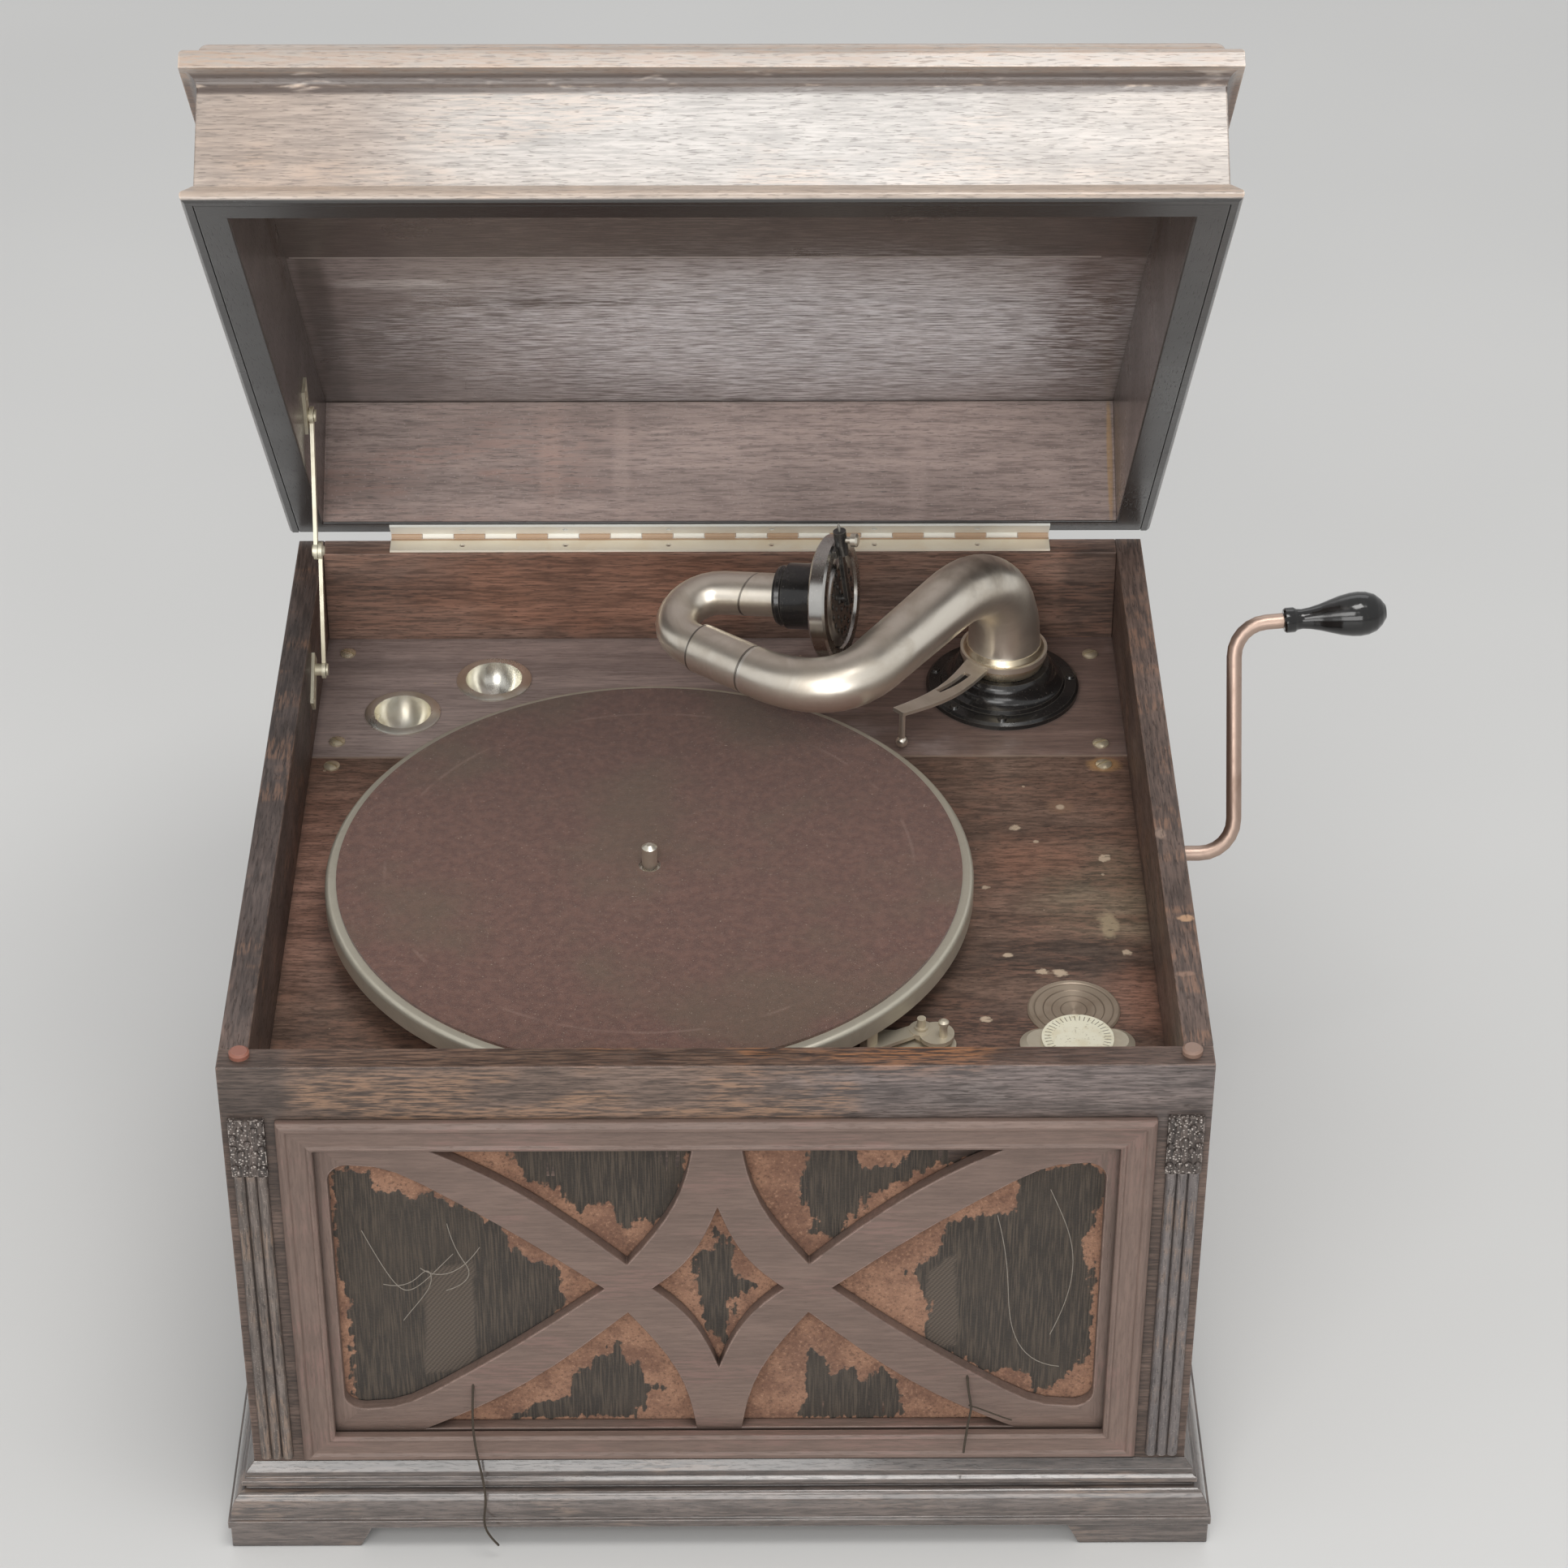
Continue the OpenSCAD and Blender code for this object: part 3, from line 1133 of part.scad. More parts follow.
// Slotted lever on the collar, with the pin that works the automatic stop
lever_turn = -135;
lever_len = 78;
module arm_lever() {
  z = base_top + touch_gap + 6;
  edge = [bowed([arm_r0 + 2.6, 8], [lever_len, 4], [0, 5]), bowed([arm_r0 + 2.6, -6], [lever_len, -3], [0, 5])];
  slot = [bowed([30, 5], [52, 4.6], [0, 1]), bowed([30, 1], [52, 1.6], [0, 1])];
  color("silver") translate([arm_at[0], arm_at[1], z]) {
    ring(arm_r0 + 3.4, arm_r0 + 2, 3);
    rotate([0, 0, lever_turn]) {
      linear_extrude(height = 2) difference() {
        polygon(concat(edge[0], [for (i = [8:-1:0]) edge[1][i]]));
        polygon(concat(slot[0], [for (i = [8:-1:0]) slot[1][i]]));
      }
      translate([lever_len - 3, 0.5, deck_z + 4 - z]) cylinder(r = 1.6, h = z - deck_z - 2);
      translate([lever_len - 3, 0.5, deck_z + 4 - z]) sphere(r = 3, $fn = 32);
    }
  }
}

// Gooseneck frame: X along its turning axis, Y towards the return limb
module swan_frame() {
  translate(swan_at) rotate([0, 0, swan_az]) rotate([0, swan_fall, 0]) rotate([swan_roll, 0, 0]) children();
}
swan_end = [swan_sleeve + swan_bend * sin(swan_turn), swan_bend * (1 - cos(swan_turn))];
box_mid = swan_end + swan_reach * [cos(swan_turn), sin(swan_turn)];
mount_len = 20;
mount_back = box_t / 2 + 1 + mount_len;
// Along the outlet: Z of this frame points out of the sound box's face
module box_frame() {
  swan_frame() translate([box_mid[0], box_mid[1], 0]) rotate([0, 0, swan_turn]) rotate([0, 90, 0]) children();
}
function swan_line(extra) = concat(
  [[-extra, 0, 0]],
  [for (i = [0:12]) let (a = swan_turn * i / 12) [swan_sleeve + swan_bend * sin(a), swan_bend * (1 - cos(a)), 0]],
  [[swan_end[0], swan_end[1], 0] + (swan_reach - mount_back + extra) * [cos(swan_turn), sin(swan_turn), 0]]
);
module gooseneck() {
  color("silver") swan_frame() difference() {
    union() {
      tube_along(swan_line(0), [for (i = [0:14]) swan_r], [0, 0, 1]);
      rotate([0, 90, 0]) cylinder(r = arm_r1, h = swan_sleeve - 6);
    }
    tube_along(swan_line(1), [for (i = [0:14]) swan_r - tube_t], [0, 0, 1]);
  }
}

// Turn about the box axis that brings local X to the needle
needle_turn = 348;
module soundbox_mount() {
  z0 = -box_t / 2 - mount_len - 1;
  color("dimgray") box_frame() rotate_extrude() polygon([
    [6, z0], [swan_r + 3.6, z0], [swan_r + 4.2, z0 + 1.5], [swan_r + 3.6, z0 + 3.5], [swan_r + 5.5, z0 + 5],
    [swan_r + 5.5, z0 + mount_len - 5], [swan_r + 7.5, z0 + mount_len], [6, z0 + mount_len]
  ]);
}
module soundbox_case() {
  z0 = -box_t / 2 - 1;
  color("silver") box_frame() difference() {
    rotate_extrude($fn = 96) polygon([
      [6, z0], [swan_r + 9, z0], [box_r - 2, z0 + 3], [box_r, z0 + 4.5], [box_r, z0 + box_t - 1],
      [box_r - 1.2, z0 + box_t], [box_grille_r + 3, z0 + box_t], [box_grille_r + 2, z0 + box_t - 2],
      [box_grille_r + 2, z0 + 6], [6, z0 + 5]
    ]);
    for (i = [0:3]) rotate([0, 0, i * 90 + 45]) translate([box_r - 3.4, 0, z0 + box_t - 2]) cylinder(r = 1.1, h = 3, $fn = 24);
  }
}
module soundbox_diaphragm() {
  color("goldenrod") box_frame() translate([0, 0, -1]) {
    cylinder(r = box_grille_r + 2 - run_gap, h = 0.6);
    translate([0, 0, 0.6]) cylinder(r = 2, h = 4.6, $fn = 24);
  }
}
grille_hole_r = 1.5;
module soundbox_grille() {
  z0 = box_t / 2 - 3.2;
  color("dimgray") box_frame() difference() {
    union() {
      translate([0, 0, z0]) cylinder(r = box_grille_r + 1.9, h = 1);
      translate([0, 0, z0 + 1]) cylinder(r1 = box_grille_r - 1, r2 = box_grille_r - 3, h = 1.2);
    }
    translate([0, 0, z0 - 1]) cylinder(r = 2.6, h = 5, $fn = 24);
    for (k = [1:3]) for (i = [0:k * 6 - 1]) rotate([0, 0, i * 60 / k + k * 7]) translate([k * 5.4, 0, z0 - 1])
      cylinder(r = grille_hole_r, h = 5, $fn = 16);
  }
}

// Needle bar across the face, its chuck over the rim, the needle and its screw
bar_z = box_t / 2 + 1.6;
chuck_len = 13;
chuck_end = needle_reach - 4.5;
module needle_side() {
  box_frame() rotate([0, 0, needle_turn]) children();
}
module needle_bar() {
  color("silver") needle_side() difference() {
    union() {
      translate([-3, -2, bar_z - 1]) cube([chuck_end - chuck_len + 5, 4, 2.2]);
      translate([0, 0, box_t / 2 - 1.8]) cylinder(r = 2, h = 4, $fn = 24);
      translate([box_r - 5, -5, box_t / 2 - 0.9]) cube([4, 10, 2]);
      translate([chuck_end - chuck_len, 0, bar_z + 1]) rotate([0, 90, 0]) cylinder(r = 3.2, h = chuck_len);
    }
    translate([chuck_end - chuck_len + 3, 0, bar_z + 1]) rotate([0, 90, 0]) cylinder(r = needle_r + run_gap, h = chuck_len);
    translate([chuck_end - 5, 0, bar_z + 1]) cylinder(r = chuck_r + run_gap, h = 6, $fn = 24);
  }
}
module needle() {
  color("silver") needle_side() translate([chuck_end - chuck_len + 3, 0, bar_z + 1]) rotate([0, 90, 0]) {
    cylinder(r = needle_r, h = needle_reach - chuck_end + chuck_len - 5, $fn = 24);
    translate([0, 0, needle_reach - chuck_end + chuck_len - 5]) cylinder(r1 = needle_r, r2 = 0.15, h = 2, $fn = 24);
  }
}
module needle_screw() {
  color("silver") needle_side() translate([chuck_end - 5, 0, bar_z + 1 + needle_r + touch_gap]) {
    cylinder(r = chuck_r, h = 4.5, $fn = 24);
    translate([0, 0, 4.5]) cylinder(r = 3.4, h = 2.6, $fn = 24);
    translate([0, 0, 7.1]) cylinder(r1 = 3.4, r2 = 2.2, h = 0.8, $fn = 24);
  }
}

// Brake on the front deck board

brake_dist = platter_r + 4.4;
brake_aim = [in_x - brake_side, in_front + brake_front];
brake_dir = atan2(brake_aim[1] - spindle_at[1], brake_aim[0] - spindle_at[0]);
brake_at = spindle_at + brake_dist * [cos(brake_dir), sin(brake_dir)];
plate_turn = -3;
module brake_plate() {
  color("silver") translate([brake_at[0], brake_at[1], deck_z]) rotate([0, 0, plate_turn]) {
    difference() {
      union() {
        translate([-25, -9, 0]) cube([32, 13, 1.5]);
        translate([7, -5, 0]) cylinder(r = 9, h = 1.5);
      }
      for (x = [-19, 9]) translate([x, -5, -1]) cylinder(r = 1.3, h = 4, $fn = 24);
    }
    cylinder(r = 3.4, h = 3.5, $fn = 32);
    cylinder(r = 2, h = 12, $fn = 32);
    translate([0, 0, 6.5]) cylinder(r = 3, h = 1, $fn = 32);
    for (x = [-19, 9]) translate([x, -5, 1.5]) cylinder(r1 = 2.6, r2 = 1.6, h = 1, $fn = 24);
  }
}

// Lever whose pad lies against the inside of the turntable's rim at rest
pad_near = 20;
pad_far = 28;
pad_face = brake_dist - sqrt(pow(platter_r - platter_t - brake_gap, 2) - pad_far * pad_far);
module brake_lever() {
  up = brake_dir + 180;
  color("silver") translate([brake_at[0], brake_at[1], deck_z + 3.8]) {
    difference() {
      union() {
        cylinder(r = 5.5, h = 2.5);
        rotate([0, 0, plate_turn]) translate([7, -3, 0.2]) cylinder(r = 8, h = 2.2);
        rotate([0, 0, up]) translate([0, 0, 0.1]) linear_extrude(height = 1.9)
          polygon([[-3, 0], [5, 0], [pad_face + 5, pad_near], [pad_face + 5, pad_far], [pad_face, pad_far]]);
      }
      translate([0, 0, -1]) cylinder(r = 2 + run_gap, h = 5, $fn = 32);
    }
    rotate([0, 0, up]) translate([pad_face, pad_near, 1]) cube([4, pad_far - pad_near, platter_up - skirt_h - 1]);
    rotate([0, 0, plate_turn]) translate([10, -5, 2]) {
      cylinder(r = 1.8, h = 7, $fn = 24);
      translate([0, 0, 7]) cylinder(r = 2.4, h = 1.6, $fn = 24);
      translate([0, 0, 8.6]) cylinder(r1 = 2.4, r2 = 1.2, h = 1, $fn = 24);
    }
  }
}

// Speed regulator: a two-lobed nickel knob with its dial on top, and a dish behind it
dish_at = speed_at + [0.5, 31];
module speed_dish() {
  color("silver") translate([dish_at[0], dish_at[1], deck_z]) rotate_extrude() polygon([
    [0, 0], [dish_r, 0], [dish_r, 0.5], [dish_r - 0.8, 1.2], [dish_r - 2.4, 1.2], [dish_r - 3, 0.8],
    [dish_r - 7, 0.8], [dish_r - 7.6, 0.4], [0, 0.4]
  ]);
}
lobe_r = 10.5;
module speed_knob() {
  color("silver") translate([speed_at[0], speed_at[1], deck_z]) {
    translate([0, 0, -board_t - 4]) cylinder(r = 3, h = board_t + 6, $fn = 32);
    translate([0, 0, 1.6]) cylinder(r = 9, h = 6.4);
    for (s = [-1, 1]) translate([s * (speed_r - lobe_r), 0, 1.6]) {
      cylinder(r = lobe_r, h = 4.4);
      translate([0, 0, 4.4]) cylinder(r1 = lobe_r, r2 = lobe_r - 3, h = 2);
    }
  }
}
module speed_dial() {
  color("cornsilk") translate([speed_at[0], speed_at[1], deck_z + 8]) cylinder(r = dial_r, h = 1.4);
}

// Crank, its pinion and grip

pinion_half = 4;
bend_run = crank_bend * tan((90 - grip_tilt) / 2);
shaft_in = barrel_at[0] + crown_r - pinion_half - 3;
function crank_line() = concat(
  [[-crank_arm_out + 6, 0, 0]],
  [for (i = [0:6]) crank_bend * [sin(15 * i) - 1, 0, 1 - cos(15 * i)]],
  [for (i = [0:6]) let (a = (90 - grip_tilt) * i / 6)
    [crank_bend * (1 - cos(a)), 0, crank_throw - bend_run + crank_bend * sin(a)]],
  [[grip_start * cos(grip_tilt), 0, crank_throw + grip_start * sin(grip_tilt)]]
);
module crank_rod() {
  color("peru") {
    translate([shaft_in, crank_axis[0], crank_axis[1]]) rotate([0, 90, 0])
      cylinder(r = rod_r, h = arm_plane_x - crank_arm_out + 7 - shaft_in);
    translate([barrel_at[0] + crown_r - pinion_half, crank_axis[0], crank_axis[1]]) rotate([0, 90, 0])
      spur_gear(crank_teeth, wind_mod, 2 * pinion_half, 180 / crank_teeth);
    translate([arm_plane_x, crank_axis[0], crank_axis[1]]) rotate([-crank_lean, 0, 0])
      tube_along(crank_line(), [for (p = crank_line()) rod_r + 0.05], [0, 1, 0], 20);
    grip_frame() {
      translate([0, 0, grip_start - 1]) cylinder(r = rod_r - 1, h = grip_len - 3);
      translate([0, 0, grip_start + grip_len - 4]) cylinder(r = rod_r + 1, h = 1.6);
    }
  }
}
module grip_frame() {
  translate(grip_at) rotate([-crank_lean, 0, 0]) rotate([0, 90 - grip_tilt, 0]) children();
}
module crank_grip() {
  r = grip_r;
  color("black") grip_frame() translate([0, 0, grip_start + touch_gap]) difference() {
    rotate_extrude() polygon(concat(
      [[0, 0], [5.4, 0], [6.2, 1], [6.2, 5], [5.2, 6.6], [4.9, 9]],
      [[5.4, 13], [6.6, 18], [8.2, 23], [9.7, 28], [r - 0.3, 33], [r, 37], [r - 0.4, 41], [r - 1.8, 45]],
      [[r - 4.4, 48], [grip_tip_r, grip_len - touch_gap], [0, grip_len - touch_gap]]
    ));
    translate([0, 0, -1]) cylinder(r = rod_r - 1 + run_gap, h = grip_len);
    translate([0, 0, grip_len - 4 - 2 * touch_gap]) cylinder(r = rod_r + 1 + run_gap, h = 1.6 + 2 * touch_gap);
  }
}

to_frame() back_panel();
to_frame() left_side();
to_frame() right_side();
to_frame() front_panel();
to_frame() bottom_board();
to_frame() plinth();
to_frame() feet();
to_frame() grille_frame();
to_frame() fretwork();
to_frame() grille_cloth();
to_frame() reeded_stiles();
to_frame() carved_blocks();
to_frame() front_deck();
to_frame() rear_deck();
to_frame() deck_ledges();
to_frame() deck_screws();
to_frame() lid_buffers();
to_frame() needle_cups();
to_frame() horn();
to_frame() throat_elbow();
to_frame() crank_bush();
to_frame() hinge_case_leaf();
to_frame() stay_case_bracket();
to_frame() tone_arm_base();
to_frame() brake_plate();
to_frame() speed_dish();
to_frame() speed_dial();
to_frame() motor_frame();
to_frame() motor_bolts();
to_frame() lid_walls();
to_frame() lid_top();
to_frame() lid_mouldings();
to_frame() hinge_lid_leaf();
to_frame() stay_lid_bracket();
to_frame() stay_upper_arm();
to_frame() stay_lower_arm();
to_frame() turntable();
to_frame() turntable_felt();
to_frame() spindle();
to_frame() tone_arm_collar();
to_frame() tone_arm_tube();
to_frame() arm_lever();
to_frame() gooseneck();
to_frame() soundbox_mount();
to_frame() soundbox_case();
to_frame() soundbox_diaphragm();
to_frame() soundbox_grille();
to_frame() needle_bar();
to_frame() needle();
to_frame() needle_screw();
to_frame() brake_lever();
to_frame() speed_knob();
to_frame() crank_rod();
to_frame() crank_grip();
to_frame() winding_wheel();
to_frame() spring_barrel();
to_frame() mainspring();
to_frame() transfer_wheel();
to_frame() governor();
to_frame() governor_weights();
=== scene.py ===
"""Look of a table-top wind-up gramophone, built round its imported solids. Lengths are metres."""

import math

import bpy
from mathutils import Matrix, Vector, noise


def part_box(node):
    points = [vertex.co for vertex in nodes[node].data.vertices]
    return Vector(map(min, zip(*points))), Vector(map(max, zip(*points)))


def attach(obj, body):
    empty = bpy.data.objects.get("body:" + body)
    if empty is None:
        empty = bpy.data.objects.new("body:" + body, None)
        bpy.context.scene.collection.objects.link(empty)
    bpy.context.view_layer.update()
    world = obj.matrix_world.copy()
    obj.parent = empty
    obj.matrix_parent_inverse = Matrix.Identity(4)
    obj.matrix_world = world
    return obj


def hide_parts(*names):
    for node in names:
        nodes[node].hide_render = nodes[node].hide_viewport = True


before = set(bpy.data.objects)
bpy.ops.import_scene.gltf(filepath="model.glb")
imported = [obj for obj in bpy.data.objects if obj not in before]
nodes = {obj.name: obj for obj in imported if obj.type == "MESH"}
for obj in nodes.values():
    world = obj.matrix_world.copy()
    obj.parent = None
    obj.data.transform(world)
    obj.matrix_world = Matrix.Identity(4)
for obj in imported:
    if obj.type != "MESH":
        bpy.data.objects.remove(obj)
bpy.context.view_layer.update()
MM = 0.001

# The solids' own origin: middle of the case, its back face, the floor
back_low, back_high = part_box("back_panel")
ORIGIN = Vector(((back_low.x + back_high.x) / 2, back_high.y, 0))


def at(x, y, z):
    """A point given in millimetres from the middle of the case's back, on the floor."""
    return ORIGIN + Vector((x, y, z)) * MM


# Heights, middles and the arm's joint that the looks refer to, in millimetres from the same point
RIM = 279.0
DECK = 227.0
SPINDLE = (-32, -245)
SPEED_KNOB = (162, -350)
SPEED_DISH = (162.5, -319)
NEEDLE_CUPS = ((-159.5, -80.5), (-115, -51))
ARM_JOINT = (15.5, -130.2, 287)
ARM_JOINT_AXIS = (-0.7679, 0.6398, -0.0314)

# Sizes that split the grain of mitred boards, in metres
CASE_HALF_WIDTH = 0.215
CASE_DEPTH = 0.421
GRILLE_HALF_WIDTH = 0.176
GRILLE_HALF_HEIGHT = 0.086
GRILLE_MIDDLE = 0.1485


# Camera, floor and light

PHOTO_SIDE = 1932
SENSOR = 36


def make_camera():
    """The camera that was solved from the photograph's vanishing lines."""
    focal_pixels = 5142.83
    pitch, yaw, roll = 0.624844, 0.0101025, 0.0031291
    place = at(14.8082, -1804.07, 1147.01 + RIM)
    forward = Vector((math.sin(yaw) * math.cos(pitch), math.cos(yaw) * math.cos(pitch), -math.sin(pitch)))
    level = Vector((math.cos(yaw), -math.sin(yaw), 0))
    above = level.cross(forward)
    right = math.cos(roll) * level + math.sin(roll) * above
    up = -math.sin(roll) * level + math.cos(roll) * above
    data = bpy.data.cameras.new("camera")
    data.sensor_width = SENSOR
    data.lens = focal_pixels / PHOTO_SIDE * SENSOR
    data.clip_start = 0.05
    data.clip_end = 50
    camera = bpy.data.objects.new("camera", data)
    bpy.context.scene.collection.objects.link(camera)
    camera.matrix_world = Matrix((
        (right.x, up.x, -forward.x, place.x),
        (right.y, up.y, -forward.y, place.y),
        (right.z, up.z, -forward.z, place.z),
        (0, 0, 0, 1),
    ))
    bpy.context.scene.camera = camera


def lamp(name, place, target, size, power, colour):
    """A rectangular area lamp that faces its target."""
    data = bpy.data.lights.new(name, "AREA")
    data.shape = "RECTANGLE"
    data.size, data.size_y = size
    data.energy = power
    data.color = colour
    obj = bpy.data.objects.new(name, data)
    bpy.context.scene.collection.objects.link(obj)
    obj.location = place
    obj.rotation_euler = (Vector(target) - Vector(place)).to_track_quat("-Z", "Y").to_euler()


def linear(red, green, blue):
    """An sRGB colour of 0 to 255 as the linear colour that a shader takes."""
    def one(v):
        v /= 255
        return v / 12.92 if v <= 0.04045 else ((v + 0.055) / 1.055) ** 2.4
    return (one(red), one(green), one(blue), 1.0)


class Look:
    """A material's nodes round one Principled shader."""

    def __init__(self, name):
        self.mat = bpy.data.materials.new(name)
        self.mat.use_nodes = True
        self.nodes = self.mat.node_tree.nodes
        self.links = self.mat.node_tree.links
        self.nodes.clear()
        out = self.nodes.new("ShaderNodeOutputMaterial")
        self.shader = self.nodes.new("ShaderNodeBsdfPrincipled")
        self.links.new(self.shader.outputs["BSDF"], out.inputs["Surface"])
        self.where = self.nodes.new("ShaderNodeTexCoord").outputs["Object"]

    def put(self, socket, value):
        """Links an output to the socket, or sets the socket's own value."""
        if isinstance(value, bpy.types.NodeSocket):
            self.links.new(value, socket)
        elif value is not None:
            socket.default_value = value

    def node(self, kind, *values, **props):
        """Output of a new node. values go to its inputs in order, props to its settings."""
        n = self.nodes.new("ShaderNode" + kind)
        for key, value in props.items():
            setattr(n, key, value)
        for i, value in enumerate(values):
            self.put(n.inputs[i], value)
        return n.outputs[0]

    def math(self, op, a, b=None, clamp=False):
        return self.node("Math", a, b, operation=op, use_clamp=clamp)

    def times(self, a, b):
        return self.math("MULTIPLY", a, b)

    def stretched(self, vector, factors):
        return self.node("VectorMath", vector, factors, operation="MULTIPLY")

    def moved(self, vector, offset):
        return self.node("VectorMath", vector, offset, operation="ADD")

    def parts(self, vector):
        n = self.nodes.new("ShaderNodeSeparateXYZ")
        self.put(n.inputs[0], vector)
        return n.outputs

    def noise(self, vector, scale, detail=2.0, rough=0.5, bend=0.0):
        n = self.nodes.new("ShaderNodeTexNoise")
        self.put(n.inputs["Vector"], vector)
        n.inputs["Scale"].default_value = scale
        n.inputs["Detail"].default_value = detail
        n.inputs["Roughness"].default_value = rough
        n.inputs["Distortion"].default_value = bend
        return n.outputs[0]

    def cells(self, vector, scale):
        """Distance to the nearest of many scattered points."""
        n = self.nodes.new("ShaderNodeTexVoronoi")
        self.put(n.inputs["Vector"], vector)
        n.inputs["Scale"].default_value = scale
        return n.outputs["Distance"]

    def step(self, value, low, high, a=0.0, b=1.0):
        """value from low to high becomes a smooth change from a to b."""
        n = self.nodes.new("ShaderNodeMapRange")
        n.interpolation_type = "SMOOTHSTEP"
        self.put(n.inputs["Value"], value)
        n.inputs["From Min"].default_value = low
        n.inputs["From Max"].default_value = high
        n.inputs["To Min"].default_value = a
        n.inputs["To Max"].default_value = b
        return n.outputs[0]

    def blend(self, amount, a, b, mode="MIX"):
        """Colour a where amount is 0, colour b where it is 1."""
        n = self.nodes.new("ShaderNodeMix")
        n.data_type = "RGBA"
        n.blend_type = mode
        self.put(n.inputs[0], amount)
        self.put(n.inputs[6], a)
        self.put(n.inputs[7], b)
        return n.outputs[2]

    def pick(self, amount, a, b):
        """Vector a where amount is 0, vector b where it is 1."""
        n = self.nodes.new("ShaderNodeMix")
        n.data_type = "VECTOR"
        self.put(n.inputs[0], amount)
        self.put(n.inputs[4], a)
        self.put(n.inputs[5], b)
        return n.outputs[1]

    def edge(self, radius):
        """Near 1 on a convex or concave edge, 0 on a flat."""
        n = self.nodes.new("ShaderNodeBevel")
        n.samples = 4
        n.inputs["Radius"].default_value = radius
        flat = self.nodes.new("ShaderNodeNewGeometry").outputs["Normal"]
        dot = self.nodes.new("ShaderNodeVectorMath")
        dot.operation = "DOT_PRODUCT"
        self.put(dot.inputs[0], n.outputs[0])
        self.put(dot.inputs[1], flat)
        return self.math("SUBTRACT", 1.0, dot.outputs["Value"], clamp=True)

    def open_air(self, distance):
        """1 in the open and less down in a groove or a corner."""
        n = self.nodes.new("ShaderNodeAmbientOcclusion")
        n.samples = 6
        n.inputs["Distance"].default_value = distance
        return n.outputs["AO"]

    def zone(self, centre, radii, ragged=0.5, scale=70, edge=0.35):
        """1 inside an uneven spot and 0 outside it. Its centre and radii are in millimetres."""
        flat = self.moved(self.where, tuple(-c for c in at(*centre)))
        flat = self.stretched(flat, tuple(1 / (r * MM) for r in radii))
        n = self.nodes.new("ShaderNodeVectorMath")
        n.operation = "LENGTH"
        self.put(n.inputs[0], flat)
        uneven = self.math("SUBTRACT", self.noise(self.where, scale, 3, 0.6), 0.5)
        reach = self.math("ADD", n.outputs["Value"], self.times(uneven, ragged * 2))
        return self.step(reach, 1 + edge, 1 - edge)

    def offsets(self, x, y):
        """How far a point is along x and y from the upright axis through (x, y), which is in millimetres."""
        return self.parts(self.moved(self.where, tuple(-c for c in at(x, y, 0))))[:2]

    def length(self, x, y):
        """Length of a flat vector."""
        return self.math("SQRT", self.math("ADD", self.times(x, x), self.times(y, y)))

    def bump(self, height, distance, strength):
        n = self.nodes.new("ShaderNodeBump")
        n.inputs["Strength"].default_value = strength
        n.inputs["Distance"].default_value = distance
        self.put(n.inputs["Height"], height)
        return n.outputs[0]

    def finish(self, colour=None, rough=None, normal=None, **fixed):
        """The material with its shader filled. fixed are constants on the shader's own sockets."""
        self.put(self.shader.inputs["Base Color"], colour)
        self.put(self.shader.inputs["Roughness"], rough)
        if normal is not None:
            self.put(self.shader.inputs["Normal"], normal)
        for key, value in fixed.items():
            self.shader.inputs[key.replace("_", " ")].default_value = value
        return self.mat


def make_light():
    """A pale studio: an even sky and four soft lamps."""
    scene = bpy.context.scene
    scene.view_settings.view_transform = "Standard"
    world = bpy.data.worlds.new("studio")
    scene.world = world
    world.use_nodes = True
    tree = world.node_tree
    sky = tree.nodes["Background"]
    coord = tree.nodes.new("ShaderNodeTexCoord")
    split = tree.nodes.new("ShaderNodeSeparateXYZ")
    tree.links.new(coord.outputs["Generated"], split.inputs[0])
    ramp = tree.nodes.new("ShaderNodeValToRGB")
    tree.links.new(split.outputs["Z"], ramp.inputs[0])
    tree.links.new(ramp.outputs[0], sky.inputs[0])
    bar = ramp.color_ramp.elements
    bar[0].position, bar[0].color = 0.0, (0.62, 0.62, 0.62, 1)
    bar[1].position, bar[1].color = 0.8, (0.70, 0.70, 0.70, 1)
    mid = bar.new(0.3)
    mid.color = (0.66, 0.66, 0.66, 1)
    sky.inputs[1].default_value = 0.9
    lamp("ceiling", (0.34, -0.66, 2.75), (0.05, -0.2, 0.3), (1.0, 0.9), 20, (1, 0.985, 0.96))
    lamp("fill", (0.0, -2.7, 0.85), (0, 0, 0.25), (1.8, 1.0), 18, (1, 0.99, 0.975))
    lamp("front", (-0.55, -2.1, 1.95), (0, 0, 0.3), (1.3, 0.9), 16, (1, 0.99, 0.97))
    lamp("window", (0.3, 2.4, 2.5), (0, 0.1, 0.3), (2.4, 1.2), 8, (0.98, 0.99, 1))


def make_floor():
    """A pale plain floor."""
    look = Look("floor")
    grime_and_shade = look.noise(look.where, 1.3, 3)
    tone = look.blend(look.step(grime_and_shade, 0.35, 0.7), linear(208, 208, 207), linear(214, 214, 213))
    speck = look.step(look.cells(look.where, 60), 0.0, 0.012, 1, 0)
    tone = look.blend(look.times(speck, 0.25), tone, linear(150, 146, 138))
    uneven = look.bump(look.noise(look.where, 240, 3), 0.0003, 0.15)
    material = look.finish(tone, 0.38, uneven, Specular_IOR_Level=0.35)
    half = 8.0
    corners = [(-half, -half, 0), (half, -half, 0), (half, half, 0), (-half, half, 0)]
    floor = new_piece("floor", corners, [(0, 1, 2, 3)], material, smooth_faces=False)


# Materials

def shades(red, green, blue, spread=0.24):
    """A wood's own colour, and how far its grain goes from it."""
    return linear(red, green, blue), spread


